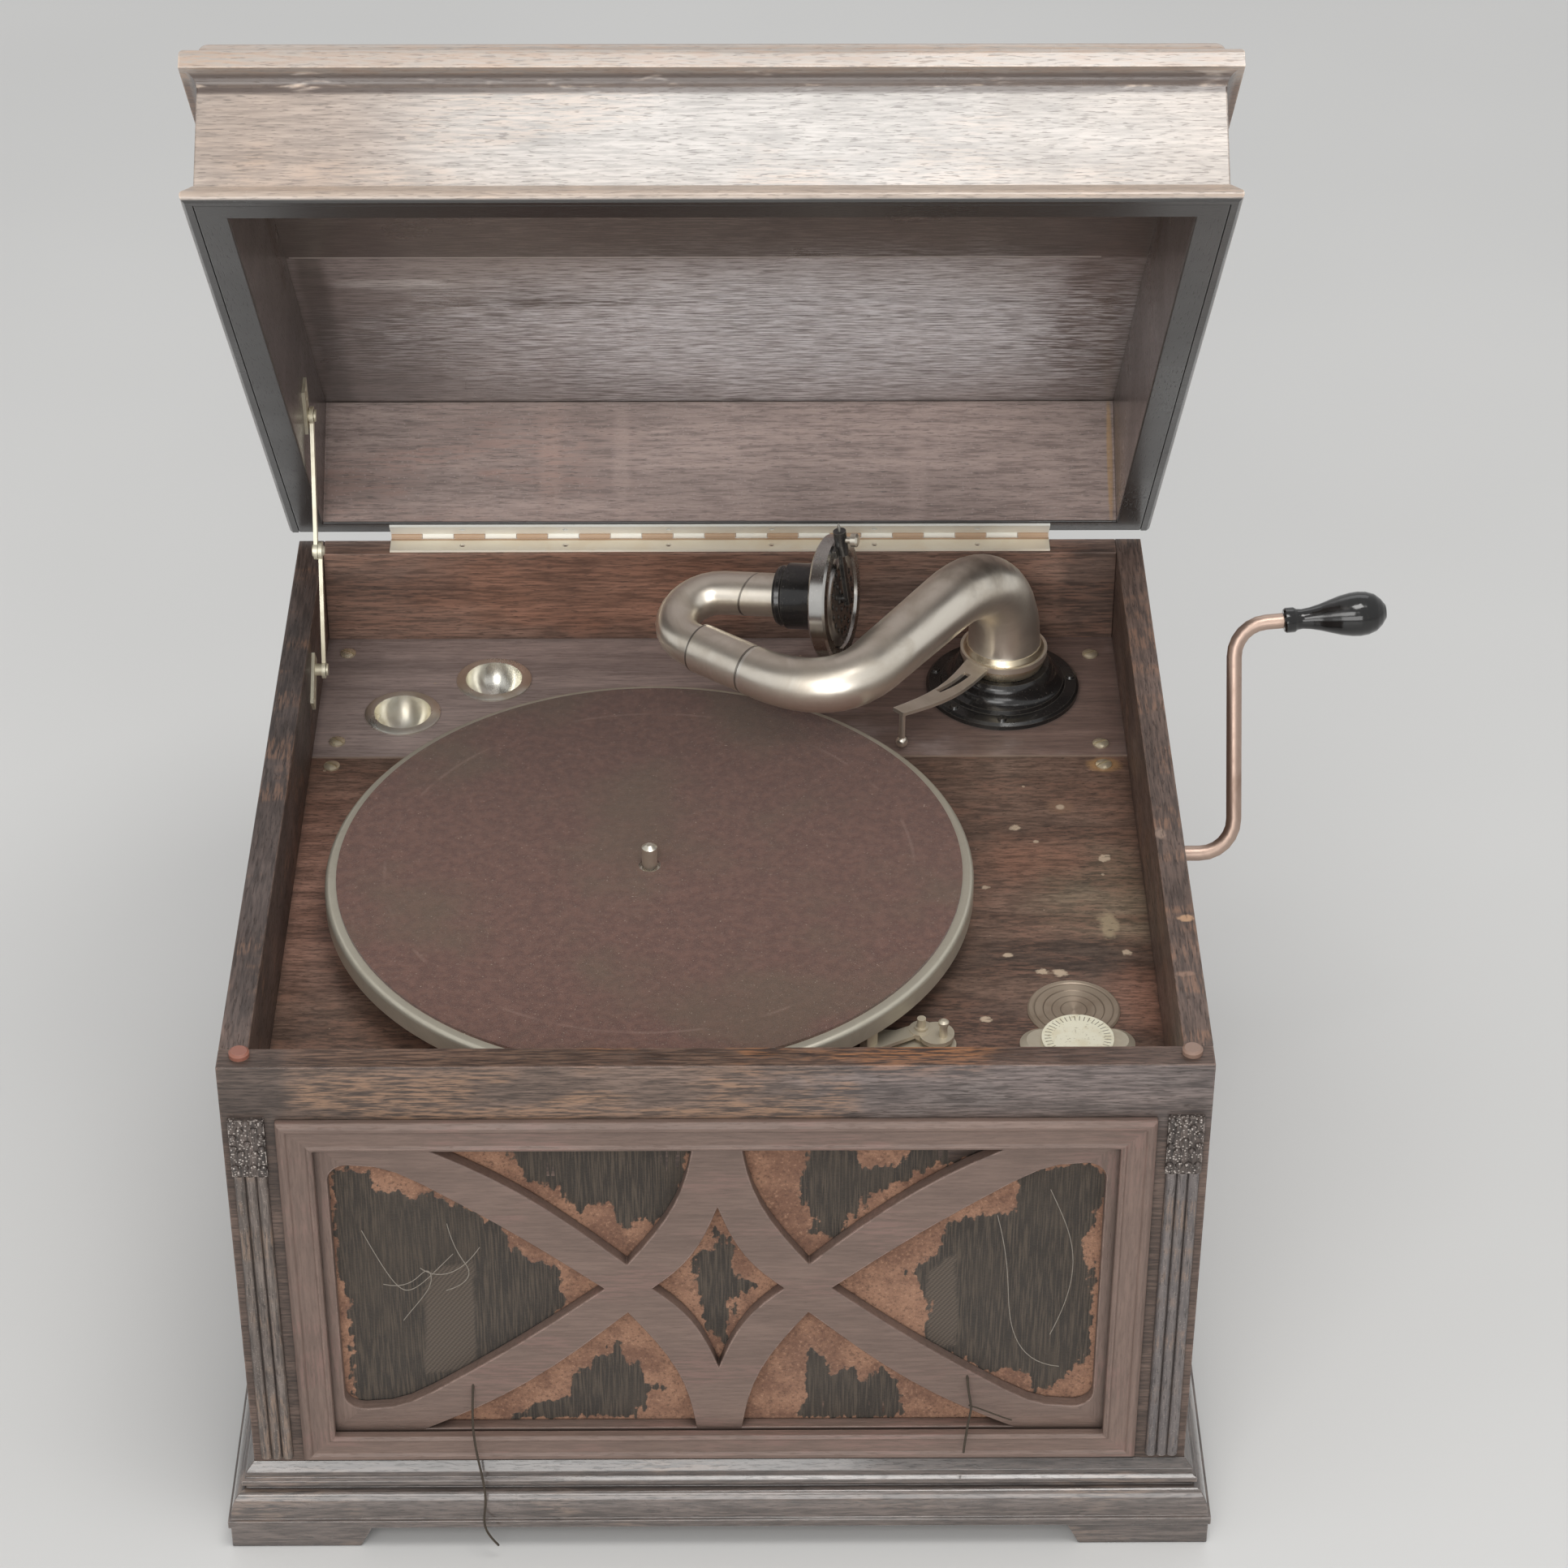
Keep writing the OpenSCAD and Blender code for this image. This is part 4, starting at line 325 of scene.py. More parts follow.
def grain_space(look, along, squeeze):
    """Coordinates squeezed along the grain, so that noise there draws long streaks."""
    rows = {"x": (squeeze, 1, 1), "y": (1, squeeze, 1), "z": (1, 1, squeeze)}
    if along in rows:
        return look.stretched(look.where, rows[along])
    first, second, mask = along(look)
    return look.pick(mask, look.stretched(look.where, rows[first]), look.stretched(look.where, rows[second]))


LID_OPEN = math.radians(51)
HINGE = at(0, 1.6, 280.5)


def lid_space(look):
    """Swings the open lid's surface points back to where they are with the lid closed."""
    n = look.nodes.new("ShaderNodeVectorRotate")
    n.rotation_type = "X_AXIS"
    look.put(n.inputs["Vector"], look.where)
    n.inputs["Center"].default_value = tuple(HINGE)
    n.inputs["Angle"].default_value = LID_OPEN
    look.where = n.outputs[0]


def box_mask(look, low, high, soft):
    """1 inside a box given in millimetres, 0 outside it, over a soft edge. None leaves a side open."""
    mask = None
    for axis, value in enumerate(look.parts(look.where)[:3]):
        for limit, sign in ((low[axis], 1), (high[axis], -1)):
            if limit is None:
                continue
            edge = ORIGIN[axis] + limit * MM
            side = look.step(value, edge - sign * soft * MM / 2, edge + sign * soft * MM / 2)
            mask = side if mask is None else look.times(mask, side)
    return mask


def region(low, high, soft=1.0):
    """A mask: 1 inside a box given in millimetres."""
    return lambda look, fine: box_mask(look, low, high, soft)


def spot(centre, radii, ragged=0.5, scale=70, edge=0.35):
    """A mask: 1 inside an uneven spot given in millimetres."""
    return lambda look, fine: look.zone(centre, radii, ragged, scale, edge)


def within(outer, inner):
    """A mask: 1 where both masks are 1."""
    return lambda look, fine: look.times(outer(look, fine), inner(look, fine))


def ring(point, axis, offset, half, reach=30):
    """A thin ring round a tube: offset from a point along the tube's axis, in millimetres."""
    def mask(look, fine):
        n = look.nodes.new("ShaderNodeVectorMath")
        n.operation = "DOT_PRODUCT"
        look.put(n.inputs[0], look.moved(look.where, tuple(-c for c in at(*point))))
        n.inputs[1].default_value = axis
        off = look.math("ABSOLUTE", look.math("SUBTRACT", n.outputs["Value"], offset * MM))
        near = look.zone(point, (reach, reach, reach), 0)
        return look.times(look.step(off, half * MM, half * MM * 0.4), near)
    return mask


def hoop(centre, radius, half):
    """A thin circle engraved in a level face, in millimetres."""
    def mask(look, fine):
        away = look.length(*look.offsets(*centre))
        off = look.math("ABSOLUTE", look.math("SUBTRACT", away, radius * MM))
        return look.step(off, half * MM, half * MM * 0.3)
    return mask


def worn(fraction=0.5, scale=42, where=None):
    """Patches of dashes along the grain where the stained finish has gone."""
    def mask(look, fine):
        place = look.moved(look.stretched(look.where, (0.35, 1, 1)), (fraction, 0, 0))
        patch = look.noise(place, scale, 3, 0.6)
        edge = 0.60 - 0.2 * fraction
        m = look.times(look.step(patch, edge, edge + 0.12), look.step(fine, 0.42, 0.60))
        return look.times(m, where(look, fine)) if where else m
    return mask


def streaks(low, high, where=None):
    """The fine streaks of the grain, as they are or inside another mask."""
    return lambda look, fine: look.times(look.step(fine, low, high), where(look, fine) if where else 1.0)


def patches(scale, low, high):
    """Uneven patches drawn out along x."""
    def mask(look, fine):
        return look.step(look.noise(look.stretched(look.where, (0.22, 1, 1)), scale, 3, 0.65), low, high)
    return mask


def chips(scale, size, share, seed=0.0):
    """Small round chips and specks scattered over a face."""
    def mask(look, fine):
        place = look.moved(look.where, (seed, seed, seed))
        near = look.step(look.cells(place, scale), size, size * 0.6)
        return look.times(near, look.step(look.noise(place, scale * 0.8, 1), 0.62 - share, 0.66 - share))
    return mask


def wood(name, tones, along="x", rough=0.42, seed=0.0, pore=0.55, coat=0.0, streak=1.0, edge=None, grime_and_shade=0.6,
         zones=(), spots=(), last=(), lid=False, long=0.05, coat_rough=0.22):
    """Old stained oak: bands and streaks along the grain, dark pores, rubbed arrises (on the grille frame
    partly a painted highlight) and painted shade that darkens the corners and grooves.

    Each entry of zones, spots and last is a mask, a colour and an amount. Zones lie under the grain,
    spots on it, and last over the rubbed arrises.
    """
    look = Look(name)
    if lid:
        lid_space(look)
    tone, spread = tones
    shade = tuple(c * 0.22 for c in tone[:3]) + (1.0,)

    def grain(squeeze):
        return look.moved(grain_space(look, along, squeeze), (seed, seed * 0.7, seed * 1.3))

    bands = look.noise(grain(long), 75, 3, 0.55, 0.3)
    fine = look.noise(grain(long * 1.6), 760, 3, 0.65)
    cloud = look.noise(look.moved(look.where, (seed, 0, 0)), 15, 3, 0.55)
    for mask, colour, amount in zones:
        tone = look.blend(look.times(mask(look, fine), amount), tone, colour)
    level = look.step(bands, 0.34, 0.66, (1 - spread) ** 2.2, 1 + 0.5 * spread)
    streaky = spread * streak
    level = look.times(level, look.step(fine, 0.34, 0.66, (1 - streaky) ** 2.2, (1 + streaky) ** 2.2))
    level = look.times(level, look.step(cloud, 0.40, 0.70, 1.06, 1 - 0.8 * spread))
    tone = look.blend(1.0, tone, look.node("CombineXYZ", level, level, level), "MULTIPLY")
    for mask, colour, amount in spots:
        tone = look.blend(look.times(mask(look, fine), amount), tone, colour)
    pores = look.noise(grain(long * 2.2), 1500, 2, 0.5)
    pore_mask = look.step(pores, 0.58, 0.67)
    tone = look.blend(look.times(pore_mask, pore), tone, shade)
    # Painted shade: the colour darkens in corners and grooves, where the surface is closed in.
    air = look.open_air(0.006)
    tone = look.blend(look.times(look.step(air, 0.80, 0.35), grime_and_shade), tone, shade)
    # Paler convex arrises: rubbed wear, and on the grille frame partly a painted highlight.
    if edge:
        rub_and_highlight = look.times(look.step(look.edge(0.0014), 0.07, 0.2), look.step(air, 0.84, 0.96))
        patchy = look.step(look.noise(look.where, 150, 3, 0.6), 0.36, 0.56)
        tone = look.blend(look.times(rub_and_highlight, patchy), tone, edge)
    for mask, colour, amount in last:
        tone = look.blend(look.times(mask(look, fine), amount), tone, colour)
    gloss = look.step(cloud, 0.3, 0.7, rough - 0.06, rough + 0.08)
    gloss = look.math("ADD", gloss, look.times(pore_mask, 0.15), clamp=True)
    height = look.math("SUBTRACT", look.times(fine, 0.35), look.times(pore_mask, 0.8))
    normal = look.bump(height, 0.0002, 0.5)
    extra = {"Coat_Weight": coat, "Coat_Roughness": coat_rough} if coat else {}
    return look.finish(tone, gloss, normal, **extra)


def nickel(name, base, tarnish, rough=0.26, amount=0.5, seed=0.0, scratch=0.5, metal=1.0, zones=(),
           turned=None):
    """Old nickel plate: tarnish clouds, fine scratches and dull spots.

    turned is a mask and two middles, in millimetres. A lathe's marks run round the first middle where the
    mask is 0, and round the second where it is 1.
    """
    look = Look(name)
    place = look.moved(look.where, (seed, seed, 0))
    cloud = look.noise(place, 38, 4, 0.6, 0.8)
    spots = look.step(look.cells(place, 420), 0.02, 0.10, 1, 0)
    spot_pick = look.step(look.noise(place, 130, 2), 0.55, 0.66)
    tone = look.blend(look.times(look.step(cloud, 0.42, 0.74), amount), base, tarnish)
    dull = tuple(c * 0.4 for c in tarnish[:3]) + (1,)
    tone = look.blend(look.times(look.times(spots, spot_pick), 0.25), tone, dull)
    for mask, colour, share in zones:
        tone = look.blend(look.times(mask(look, cloud), share), tone, colour)
    edge = look.step(look.edge(0.0008), 0.01, 0.2)
    tone = look.blend(look.times(edge, 0.35), tone, tuple(min(1, c * 1.25) for c in base[:3]) + (1,))
    hair = look.noise(look.stretched(place, (1, 0.12, 0.5)), 2600, 2, 0.6)
    gloss = look.step(cloud, 0.35, 0.75, rough, rough + 0.16)
    gloss = look.math("ADD", gloss, look.times(look.step(hair, 0.55, 0.75), 0.08), clamp=True)
    normal = look.bump(look.math("ADD", look.times(hair, 0.3), look.noise(place, 90, 3)), 0.00006, scratch)
    if turned:
        choice, *middles = turned
        rays = [look.node("CombineXYZ", *look.offsets(*middle), 0.0) for middle in middles]
        look.put(look.shader.inputs["Tangent"], look.pick(choice(look, cloud), *rays))
        return look.finish(tone, gloss, normal, Metallic=metal, Anisotropic=0.8)
    return look.finish(tone, gloss, normal, Metallic=metal)


def enamel(name, base, dust_and_sheen, rough=0.22, zones=()):
    """Glossy enamel or hard rubber with dusty flecks, a haze and pale edges: the flecks are dirt, and the
    haze and the edges are partly dirt and partly a painted sheen and glints.
    """
    look = Look(name)
    for mask, colour, share in zones:
        base = look.blend(look.times(mask(look, None), share), base, colour)
    fleck = look.step(look.noise(look.where, 900, 2, 0.7), 0.62, 0.76)
    # The haze and the paler edges below are partly dirt and partly painted sheen and glints.
    haze = look.step(look.noise(look.where, 46, 3), 0.45, 0.8)
    tone = look.blend(look.times(fleck, 0.35), base, dust_and_sheen)
    tone = look.blend(look.times(haze, 0.10), tone, dust_and_sheen)
    edge = look.step(look.edge(0.0008), 0.02, 0.2)
    tone = look.blend(look.times(edge, 0.5), tone, dust_and_sheen)
    normal = look.bump(look.noise(look.where, 700, 2), 0.00005, 0.4)
    gloss = look.step(haze, 0, 1, rough, rough + 0.18)
    return look.finish(tone, gloss, normal, Coat_Weight=0.4, Coat_Roughness=0.12)


def felt(name):
    """Maroon-brown felt: fibre speckle, lint and a faint broken ring near its edge."""
    look = Look(name)
    radius = look.length(*look.offsets(*SPINDLE))
    fibre = look.noise(look.where, 2400, 3, 0.7)
    mottled = look.noise(look.where, 260, 3, 0.6)
    wide = look.noise(look.where, 16, 3, 0.55)
    tone = look.blend(look.step(mottled, 0.35, 0.68), linear(96, 66, 57), linear(116, 82, 71))
    tone = look.blend(look.times(look.step(wide, 0.45, 0.70), 0.55), tone, linear(96, 84, 66))
    tone = look.blend(look.times(look.step(fibre, 0.50, 0.66), 0.6), tone, linear(140, 108, 94))
    tone = look.blend(look.times(look.step(fibre, 0.47, 0.34), 0.6), tone, linear(76, 52, 48))
    lint = look.step(look.noise(look.where, 1500, 1, 0.4), 0.73, 0.78)
    tone = look.blend(look.times(lint, 0.75), tone, linear(196, 178, 160))
    rim = look.times(look.step(radius, 0.1225, 0.1232), look.step(radius, 0.1247, 0.124))
    broken = look.step(look.noise(look.where, 30, 2), 0.48, 0.6)
    tone = look.blend(look.times(look.times(rim, broken), 0.2), tone, linear(166, 138, 126))
    height = look.math("ADD", fibre, look.times(mottled, 0.8))
    normal = look.bump(height, 0.0004, 0.8)
    return look.finish(tone, 0.95, normal, Sheen_Weight=0.35, Sheen_Roughness=0.5, Specular_IOR_Level=0.2)


DIAL_TICKS = 40.0


def dial_look():
    """Cream enamel with plain ticks round its edge and brown freckles."""
    look = Look("dial_enamel")
    x, y = look.offsets(*SPEED_KNOB)
    away = look.length(x, y)
    band = look.times(look.step(away, 0.0118, 0.0121), look.step(away, 0.0152, 0.0149))
    tick = look.step(look.math("SINE", look.times(look.math("ARCTAN2", y, x), DIAL_TICKS)), 0.72, 0.9)
    freckle = look.step(look.noise(look.where, 620, 3, 0.7), 0.58, 0.70)
    cloud = look.step(look.noise(look.where, 150, 3), 0.45, 0.7)
    tone = look.blend(look.times(cloud, 0.5), linear(240, 236, 214), linear(222, 210, 176))
    tone = look.blend(look.times(freckle, 0.6), tone, linear(150, 134, 96))
    tone = look.blend(look.times(look.times(band, tick), 0.8), tone, linear(96, 84, 60))
    return look.finish(tone, 0.36, look.bump(freckle, 0.0001, 0.5), Coat_Weight=0.3, Coat_Roughness=0.15)


def from_middle(look):
    """Distance to the left or right of the case's middle plane, then y and z."""
    x, y, z = look.parts(look.where)[:3]
    return look.math("ABSOLUTE", look.math("SUBTRACT", x, ORIGIN.x)), y, z


def frame_mitre(look):
    """Grain along x, or along z beyond the mitres of the grille's frame."""
    across, _, z = from_middle(look)
    upright = look.math("ABSOLUTE", look.math("SUBTRACT", z, GRILLE_MIDDLE))
    beyond = look.math("SUBTRACT", across, upright)
    return "x", "z", look.math("GREATER_THAN", beyond, GRILLE_HALF_WIDTH - GRILLE_HALF_HEIGHT)


def lid_boards(look):
    """Grain along x on the lid's front and rear boards, along its depth on its side boards."""
    across, y, _ = from_middle(look)
    half_width, middle, half_depth = 0.2005, ORIGIN.y - 0.2105, 0.1965
    wide = look.math("GREATER_THAN", across, half_width)
    between = look.math("LESS_THAN", look.math("ABSOLUTE", look.math("SUBTRACT", y, middle)), half_depth)
    return "x", "y", look.times(wide, between)


def round_case(look):
    """Grain along x on the front, along y on the sides."""
    across, y, _ = from_middle(look)
    corner = CASE_HALF_WIDTH + ORIGIN.y - CASE_DEPTH
    return "x", "y", look.math("GREATER_THAN", look.math("ADD", across, y), corner)


ANY = (None, None, None)
CHIP = linear(205, 184, 160)


def case_woods(m):
    """Front, sides, stiles, carved blocks, plinth, back and grille frame."""
    m["front"] = wood(
        "oak_front", shades(114, 96, 86, 0.2), "x", 0.42, 0.0, edge=linear(176, 148, 134),
        zones=(
            (region((30, None, 238), ANY, 70), linear(104, 95, 93), 0.85),
            (region((None, None, 278.6), ANY, 0.4), linear(92, 72, 62), 0.85),
            (region((-216, None, 236), (-186, None, 280), 8), linear(90, 78, 72), 0.7),
            (region(ANY, (None, None, 243), 6), linear(84, 68, 60), 0.7)),
        spots=(
            (worn(0.95, 46, region((-183, None, 240), (60, None, 277), 14)), linear(158, 124, 98), 0.65),
            (worn(0.45, 46, region((40, None, 240), (205, None, 277), 14)), linear(134, 126, 122), 0.4),
            (worn(0.7, 60, region((-60, -420.5, 277), (120, None, None), 20)), linear(190, 128, 78), 0.8)))
    m["side"] = wood(
        "oak_side", shades(108, 89, 80, 0.16), "y", 0.42, 3.1, edge=linear(156, 130, 112),
        zones=((spot((-207, -230, RIM), (14, 190, 60), 0.4, 30), linear(78, 67, 63), 0.95),),
        spots=(
            (worn(0.5, 40), linear(150, 112, 88), 0.5),
            (spot((211, -318, RIM), (3.4, 2.2, 4), 1.0, 260), linear(206, 164, 128), 0.7),
            (spot((207.5, -358, RIM), (4, 2, 4), 0.8, 200), linear(164, 130, 110), 0.6),
            (spot((204.5, -254, RIM), (2.5, 4, 4), 0.8, 200), linear(170, 146, 130), 0.6),
            (spot((207, -413, RIM), (5, 5, 4), 0.8, 200), linear(176, 154, 138), 0.7)))
    m["stile"] = wood(
        "oak_stile", shades(108, 98, 92, 0.16), "z", 0.36, 5.7, edge=linear(152, 140, 132), grime_and_shade=0.85,
        spots=(
            (region((150, None, None), ANY, 40), linear(104, 101, 104), 0.45),
            (worn(0.6, 40), linear(144, 118, 98), 0.5),
            (chips(900, 0.30, 0.2), linear(186, 176, 168), 0.3)))
    m["block"] = wood(
        "oak_carved", shades(90, 80, 75), "z", 0.40, 6.7, edge=linear(186, 174, 166), grime_and_shade=0.9,
        spots=((chips(700, 0.36, 0.4, 1.0), linear(206, 196, 188), 0.7),))
    m["plinth"] = wood(
        "oak_plinth", shades(94, 84, 79, 0.16), round_case, 0.24, 7.9, coat=1.0, coat_rough=0.07,
        edge=linear(168, 154, 146), spots=((worn(0.4, 40), linear(144, 122, 106), 0.4),))
    m["back"] = wood(
        "oak_back", shades(146, 118, 104, 0.15), "x", 0.5, 9.3,
        zones=(
            (spot((-60, -14, 258), (90, 7, 26), 0.5, 30), linear(152, 106, 84), 0.6),
            (spot((120, -14, 255), (50, 7, 16), 0.6, 40), linear(96, 80, 72), 0.6),
            (spot((190, -14, 258), (16, 7, 40), 0.4, 40), linear(84, 70, 64), 0.7),
            (spot((-170, -14, 262), (40, 7, 10), 0.6, 40), linear(104, 86, 78), 0.5)),
        spots=((worn(0.8, 50, region(ANY, (None, -1, None))), linear(166, 118, 96), 0.3),))
    # The grille frame's pale arris colour is partly rubbed wear and partly a painted highlight on its
    # arrises.
    m["fret"] = wood(
        "fret_wood", shades(116, 97, 88, 0.05), frame_mitre, 0.46, 15.0, pore=0.08,
        edge=linear(200, 172, 160), grime_and_shade=0.7, spots=((worn(0.5, 40), linear(138, 104, 98), 0.3),))


def lid_woods(m):
    """The lid's top with its mouldings, and its walls. Places are those of the closed lid."""
    tones = shades(182, 171, 162, 0.08)
    orange = linear(208, 172, 142)
    front = region(ANY, (None, -413, None), 8)
    inside = region((-201.6, -408, None), (201.6, -13, 349.5), 0.6)
    behind = (region((None, -414, None), ANY, 14), linear(134, 112, 99), 1.0)
    lip = (region(ANY, (None, None, 283.2), 1.0), linear(46, 44, 43), 1.0)
    # Painted shadow: a dark ragged band in the groove under the cornice, on the lid's front.
    groove_face = region((None, None, 332.4), (None, -200, 340.4), 2.0)
    groove = (within(groove_face, patches(150, 0.26, 0.44)), linear(64, 47, 39), 0.9)
    cornice_face = region((None, None, 335), (None, -380, 358), 2)
    cornice = (within(cornice_face, streaks(0.40, 0.62)), linear(146, 116, 94), 0.5)
    lowest = (region((None, None, 283), (None, -410, 291), 3), linear(166, 140, 118), 0.45)

    # Spots on the inside of the lid. Most are stains and flecks; the pale patch and the near-white streaks in
    # its middle are painted sheen.
    def stain_and_sheen(centre, radii, ragged, scale, edge=0.35):
        return within(inside, spot(centre, radii, ragged, scale, edge))

    m["lid"] = wood(
        "oak_lid", tones, "x", 0.32, 11.2, pore=0.35, coat=0.6, edge=linear(226, 204, 184), lid=True,
        zones=(
            behind,
            (inside, linear(150, 137, 133), 1.0),
            # Painted reflection: a pale patch across the middle of the inside, the varnish's sheen.
            (stain_and_sheen((50, -108, 348), (140, 85, 30), 0.25, 25, 0.6), linear(204, 197, 198), 0.95),
            (within(inside, region((None, None, 345), (None, -204, None), 3)), linear(82, 71, 66), 0.95),
            (stain_and_sheen((185, -110, 348), (24, 110, 30), 0.5, 30, 0.5), linear(108, 90, 83), 0.9),
            (stain_and_sheen((-175, -90, 348), (46, 70, 30), 0.5, 30, 0.5), linear(110, 96, 91), 0.85),
            (stain_and_sheen((-95, -148, 348), (64, 6, 30), 0.35, 60, 0.5), linear(100, 86, 80), 0.85),
            (stain_and_sheen((-150, -172, 348), (30, 6, 30), 0.4, 60, 0.5), linear(186, 176, 172), 0.8),
            # Painted shade: a dark narrow strip along the left side of the inside, next to the side wall.
            (stain_and_sheen((-192, -200, 348), (7, 400, 30), 0.3, 30, 0.5), linear(92, 82, 78), 0.8)),
        spots=(
            cornice,
            lowest,
            (within(front, worn(0.5, 30)), orange, 0.2),
            # Painted reflection: near-white streaks along the grain across the middle of the inside, the
            # varnish's sheen.
            (streaks(0.47, 0.58, stain_and_sheen((40, -100, 348), (165, 80, 30), 0.4, 22, 0.7)),
             linear(250, 247, 250), 0.85),
            (streaks(0.50, 0.62, stain_and_sheen((-20, -290, 348), (190, 80, 30), 0.4, 22, 0.7)),
             linear(124, 108, 100), 0.5),
            (streaks(0.47, 0.36, inside), linear(82, 71, 67), 0.6),
            (within(inside, region((-200, -205.6, 345), (180, -204.2, None), 0.5)),
             linear(206, 194, 186), 0.6)),
        last=(groove, lip))
    m["lid_walls"] = wood(
        "oak_lid_walls", tones, lid_boards, 0.32, 13.4, pore=0.45, coat=0.6, edge=linear(200, 176, 156),
        lid=True,
        zones=(
            behind,
            # Painted sheen: a paler, greyer patch across the middle of the lid's front.
            (spot((10, -421, 316), (150, 6, 30), 0.4, 30, 0.6), linear(184, 179, 175), 0.9),
            (spot((-180, -421, 312), (50, 5, 40), 0.6, 30, 0.6), linear(150, 124, 106), 0.45),
            (inside, linear(170, 151, 144), 1.0),
            (region((-201.7, -407, None), (-198, -14, 349.5), 0.6), linear(68, 61, 59), 1.0),
            (region((198, -407, None), (201.7, -14, 349.5), 0.6), linear(68, 59, 57), 1.0),
            (within(inside, worn(0.9, 26, spot((-140, -14, 312), (80, 5, 30), 0.8, 30, 0.7))),
             linear(158, 122, 110), 0.55)),
        spots=(
            (within(front, worn(0.5, 26)), orange, 0.22),
            (streaks(0.47, 0.36, inside), linear(116, 100, 95), 0.35),
            (stain_and_sheen((-50, -14, 312), (4, 5, 32), 0.6, 60, 0.6), linear(196, 174, 166), 0.4),
            (stain_and_sheen((-86, -14, 318), (6, 5, 24), 0.6, 60, 0.6), linear(196, 166, 154), 0.35),
            (stain_and_sheen((100, -14, 306), (5, 5, 26), 0.6, 60, 0.6), linear(196, 174, 166), 0.3),
            (stain_and_sheen((199, -14, 314), (1.4, 5, 34), 0.3, 90), linear(196, 158, 112), 0.7),
            (within(inside, chips(430, 0.26, 0.2)), linear(196, 180, 174), 0.3)),
        last=(groove, lip))


# Chips in the front deck board: x, y and radius in millimetres
DECK_CHIPS = (
    (143, -178.5, 2.6), (184.6, -203, 3), (190, -276.7, 2.4), (149.8, -290.7, 2.6), (158, -291.8, 3),
    (134.4, -278.2, 2), (121.7, -325.5, 2.4), (126.4, -226.2, 1.8), (152.8, -189.7, 1.5),
)


def deck_woods(m):
    """The two deck boards, with the pale line where they meet, and the bare wood below."""
    joint_line = region((None, -119.3, 226), (None, -117.6, None), 0.4)
    joint = (within(joint_line, patches(60, 0.30, 0.46)), linear(168, 146, 130), 0.75)
    marks = [
        (worn(0.8, 55), linear(146, 106, 88), 0.4),
        (spot((183, -256, DECK), (4.5, 9, 5), 0.9, 160), linear(176, 158, 130), 0.8),
        (spot((166, -161.6, DECK), (6.6, 5.5, 5), 0.2, 200), linear(146, 116, 96), 0.8),
        (spot((166, -161.6, DECK), (2, 2, 5), 0.2), CHIP, 0.9),
        (spot((189.8, -126.4, DECK), (8, 5.5, 5), 0.3, 160), linear(186, 146, 102), 0.8),
        (chips(46, 0.045, 0.16, 2.0), CHIP, 0.85),
        (chips(120, 0.07, 0.06, 5.0), linear(190, 168, 146), 0.6)]
    marks += [(spot((x, y, DECK), (r, r * 0.8, 5), 1.1, 330, 0.3), CHIP, 0.9) for x, y, r in DECK_CHIPS]
    m["deck"] = wood(
        "oak_deck", shades(122, 98, 85, 0.17), "x", 0.42, 17.0, edge=linear(170, 146, 132), pore=0.5,
        long=0.10,
        zones=(
            (spot((185, -235, DECK), (30, 36, 20), 0.8, 45, 0.7), linear(134, 120, 100), 0.7),
            (spot((160, -281, DECK), (48, 14, 20), 0.5, 60, 0.6), linear(88, 74, 66), 0.8),
            (spot((120, -335, DECK), (60, 22, 20), 0.5, 60, 0.6), linear(94, 76, 68), 0.7),
            (spot((150, -205, DECK), (24, 16, 20), 0.6, 60, 0.6), linear(150, 106, 86), 0.45),
            (spot((195, -312, DECK), (16, 24, 20), 0.5, 60, 0.6), linear(146, 100, 82), 0.45),
            (spot((-190, -220, DECK), (34, 70, 20), 0.5, 60, 0.6), linear(172, 132, 116), 0.7)),
        spots=marks, last=(joint,))
    m["rear_deck"] = wood(
        "board_rear", shades(184, 166, 160, 0.12), "x", 0.40, 19.0, edge=linear(200, 180, 166), pore=0.25,
        streak=0.6, last=(joint,),
        zones=((spot((160, -60, DECK), (110, 75, 20), 0.6, 40), linear(132, 108, 98), 0.9),),
        spots=((chips(60, 0.05, 0.12, 3.0), CHIP, 0.8),))
    m["bare"] = wood("bare_wood", shades(160, 128, 94, 0.16), "x", 0.6, 21.0)


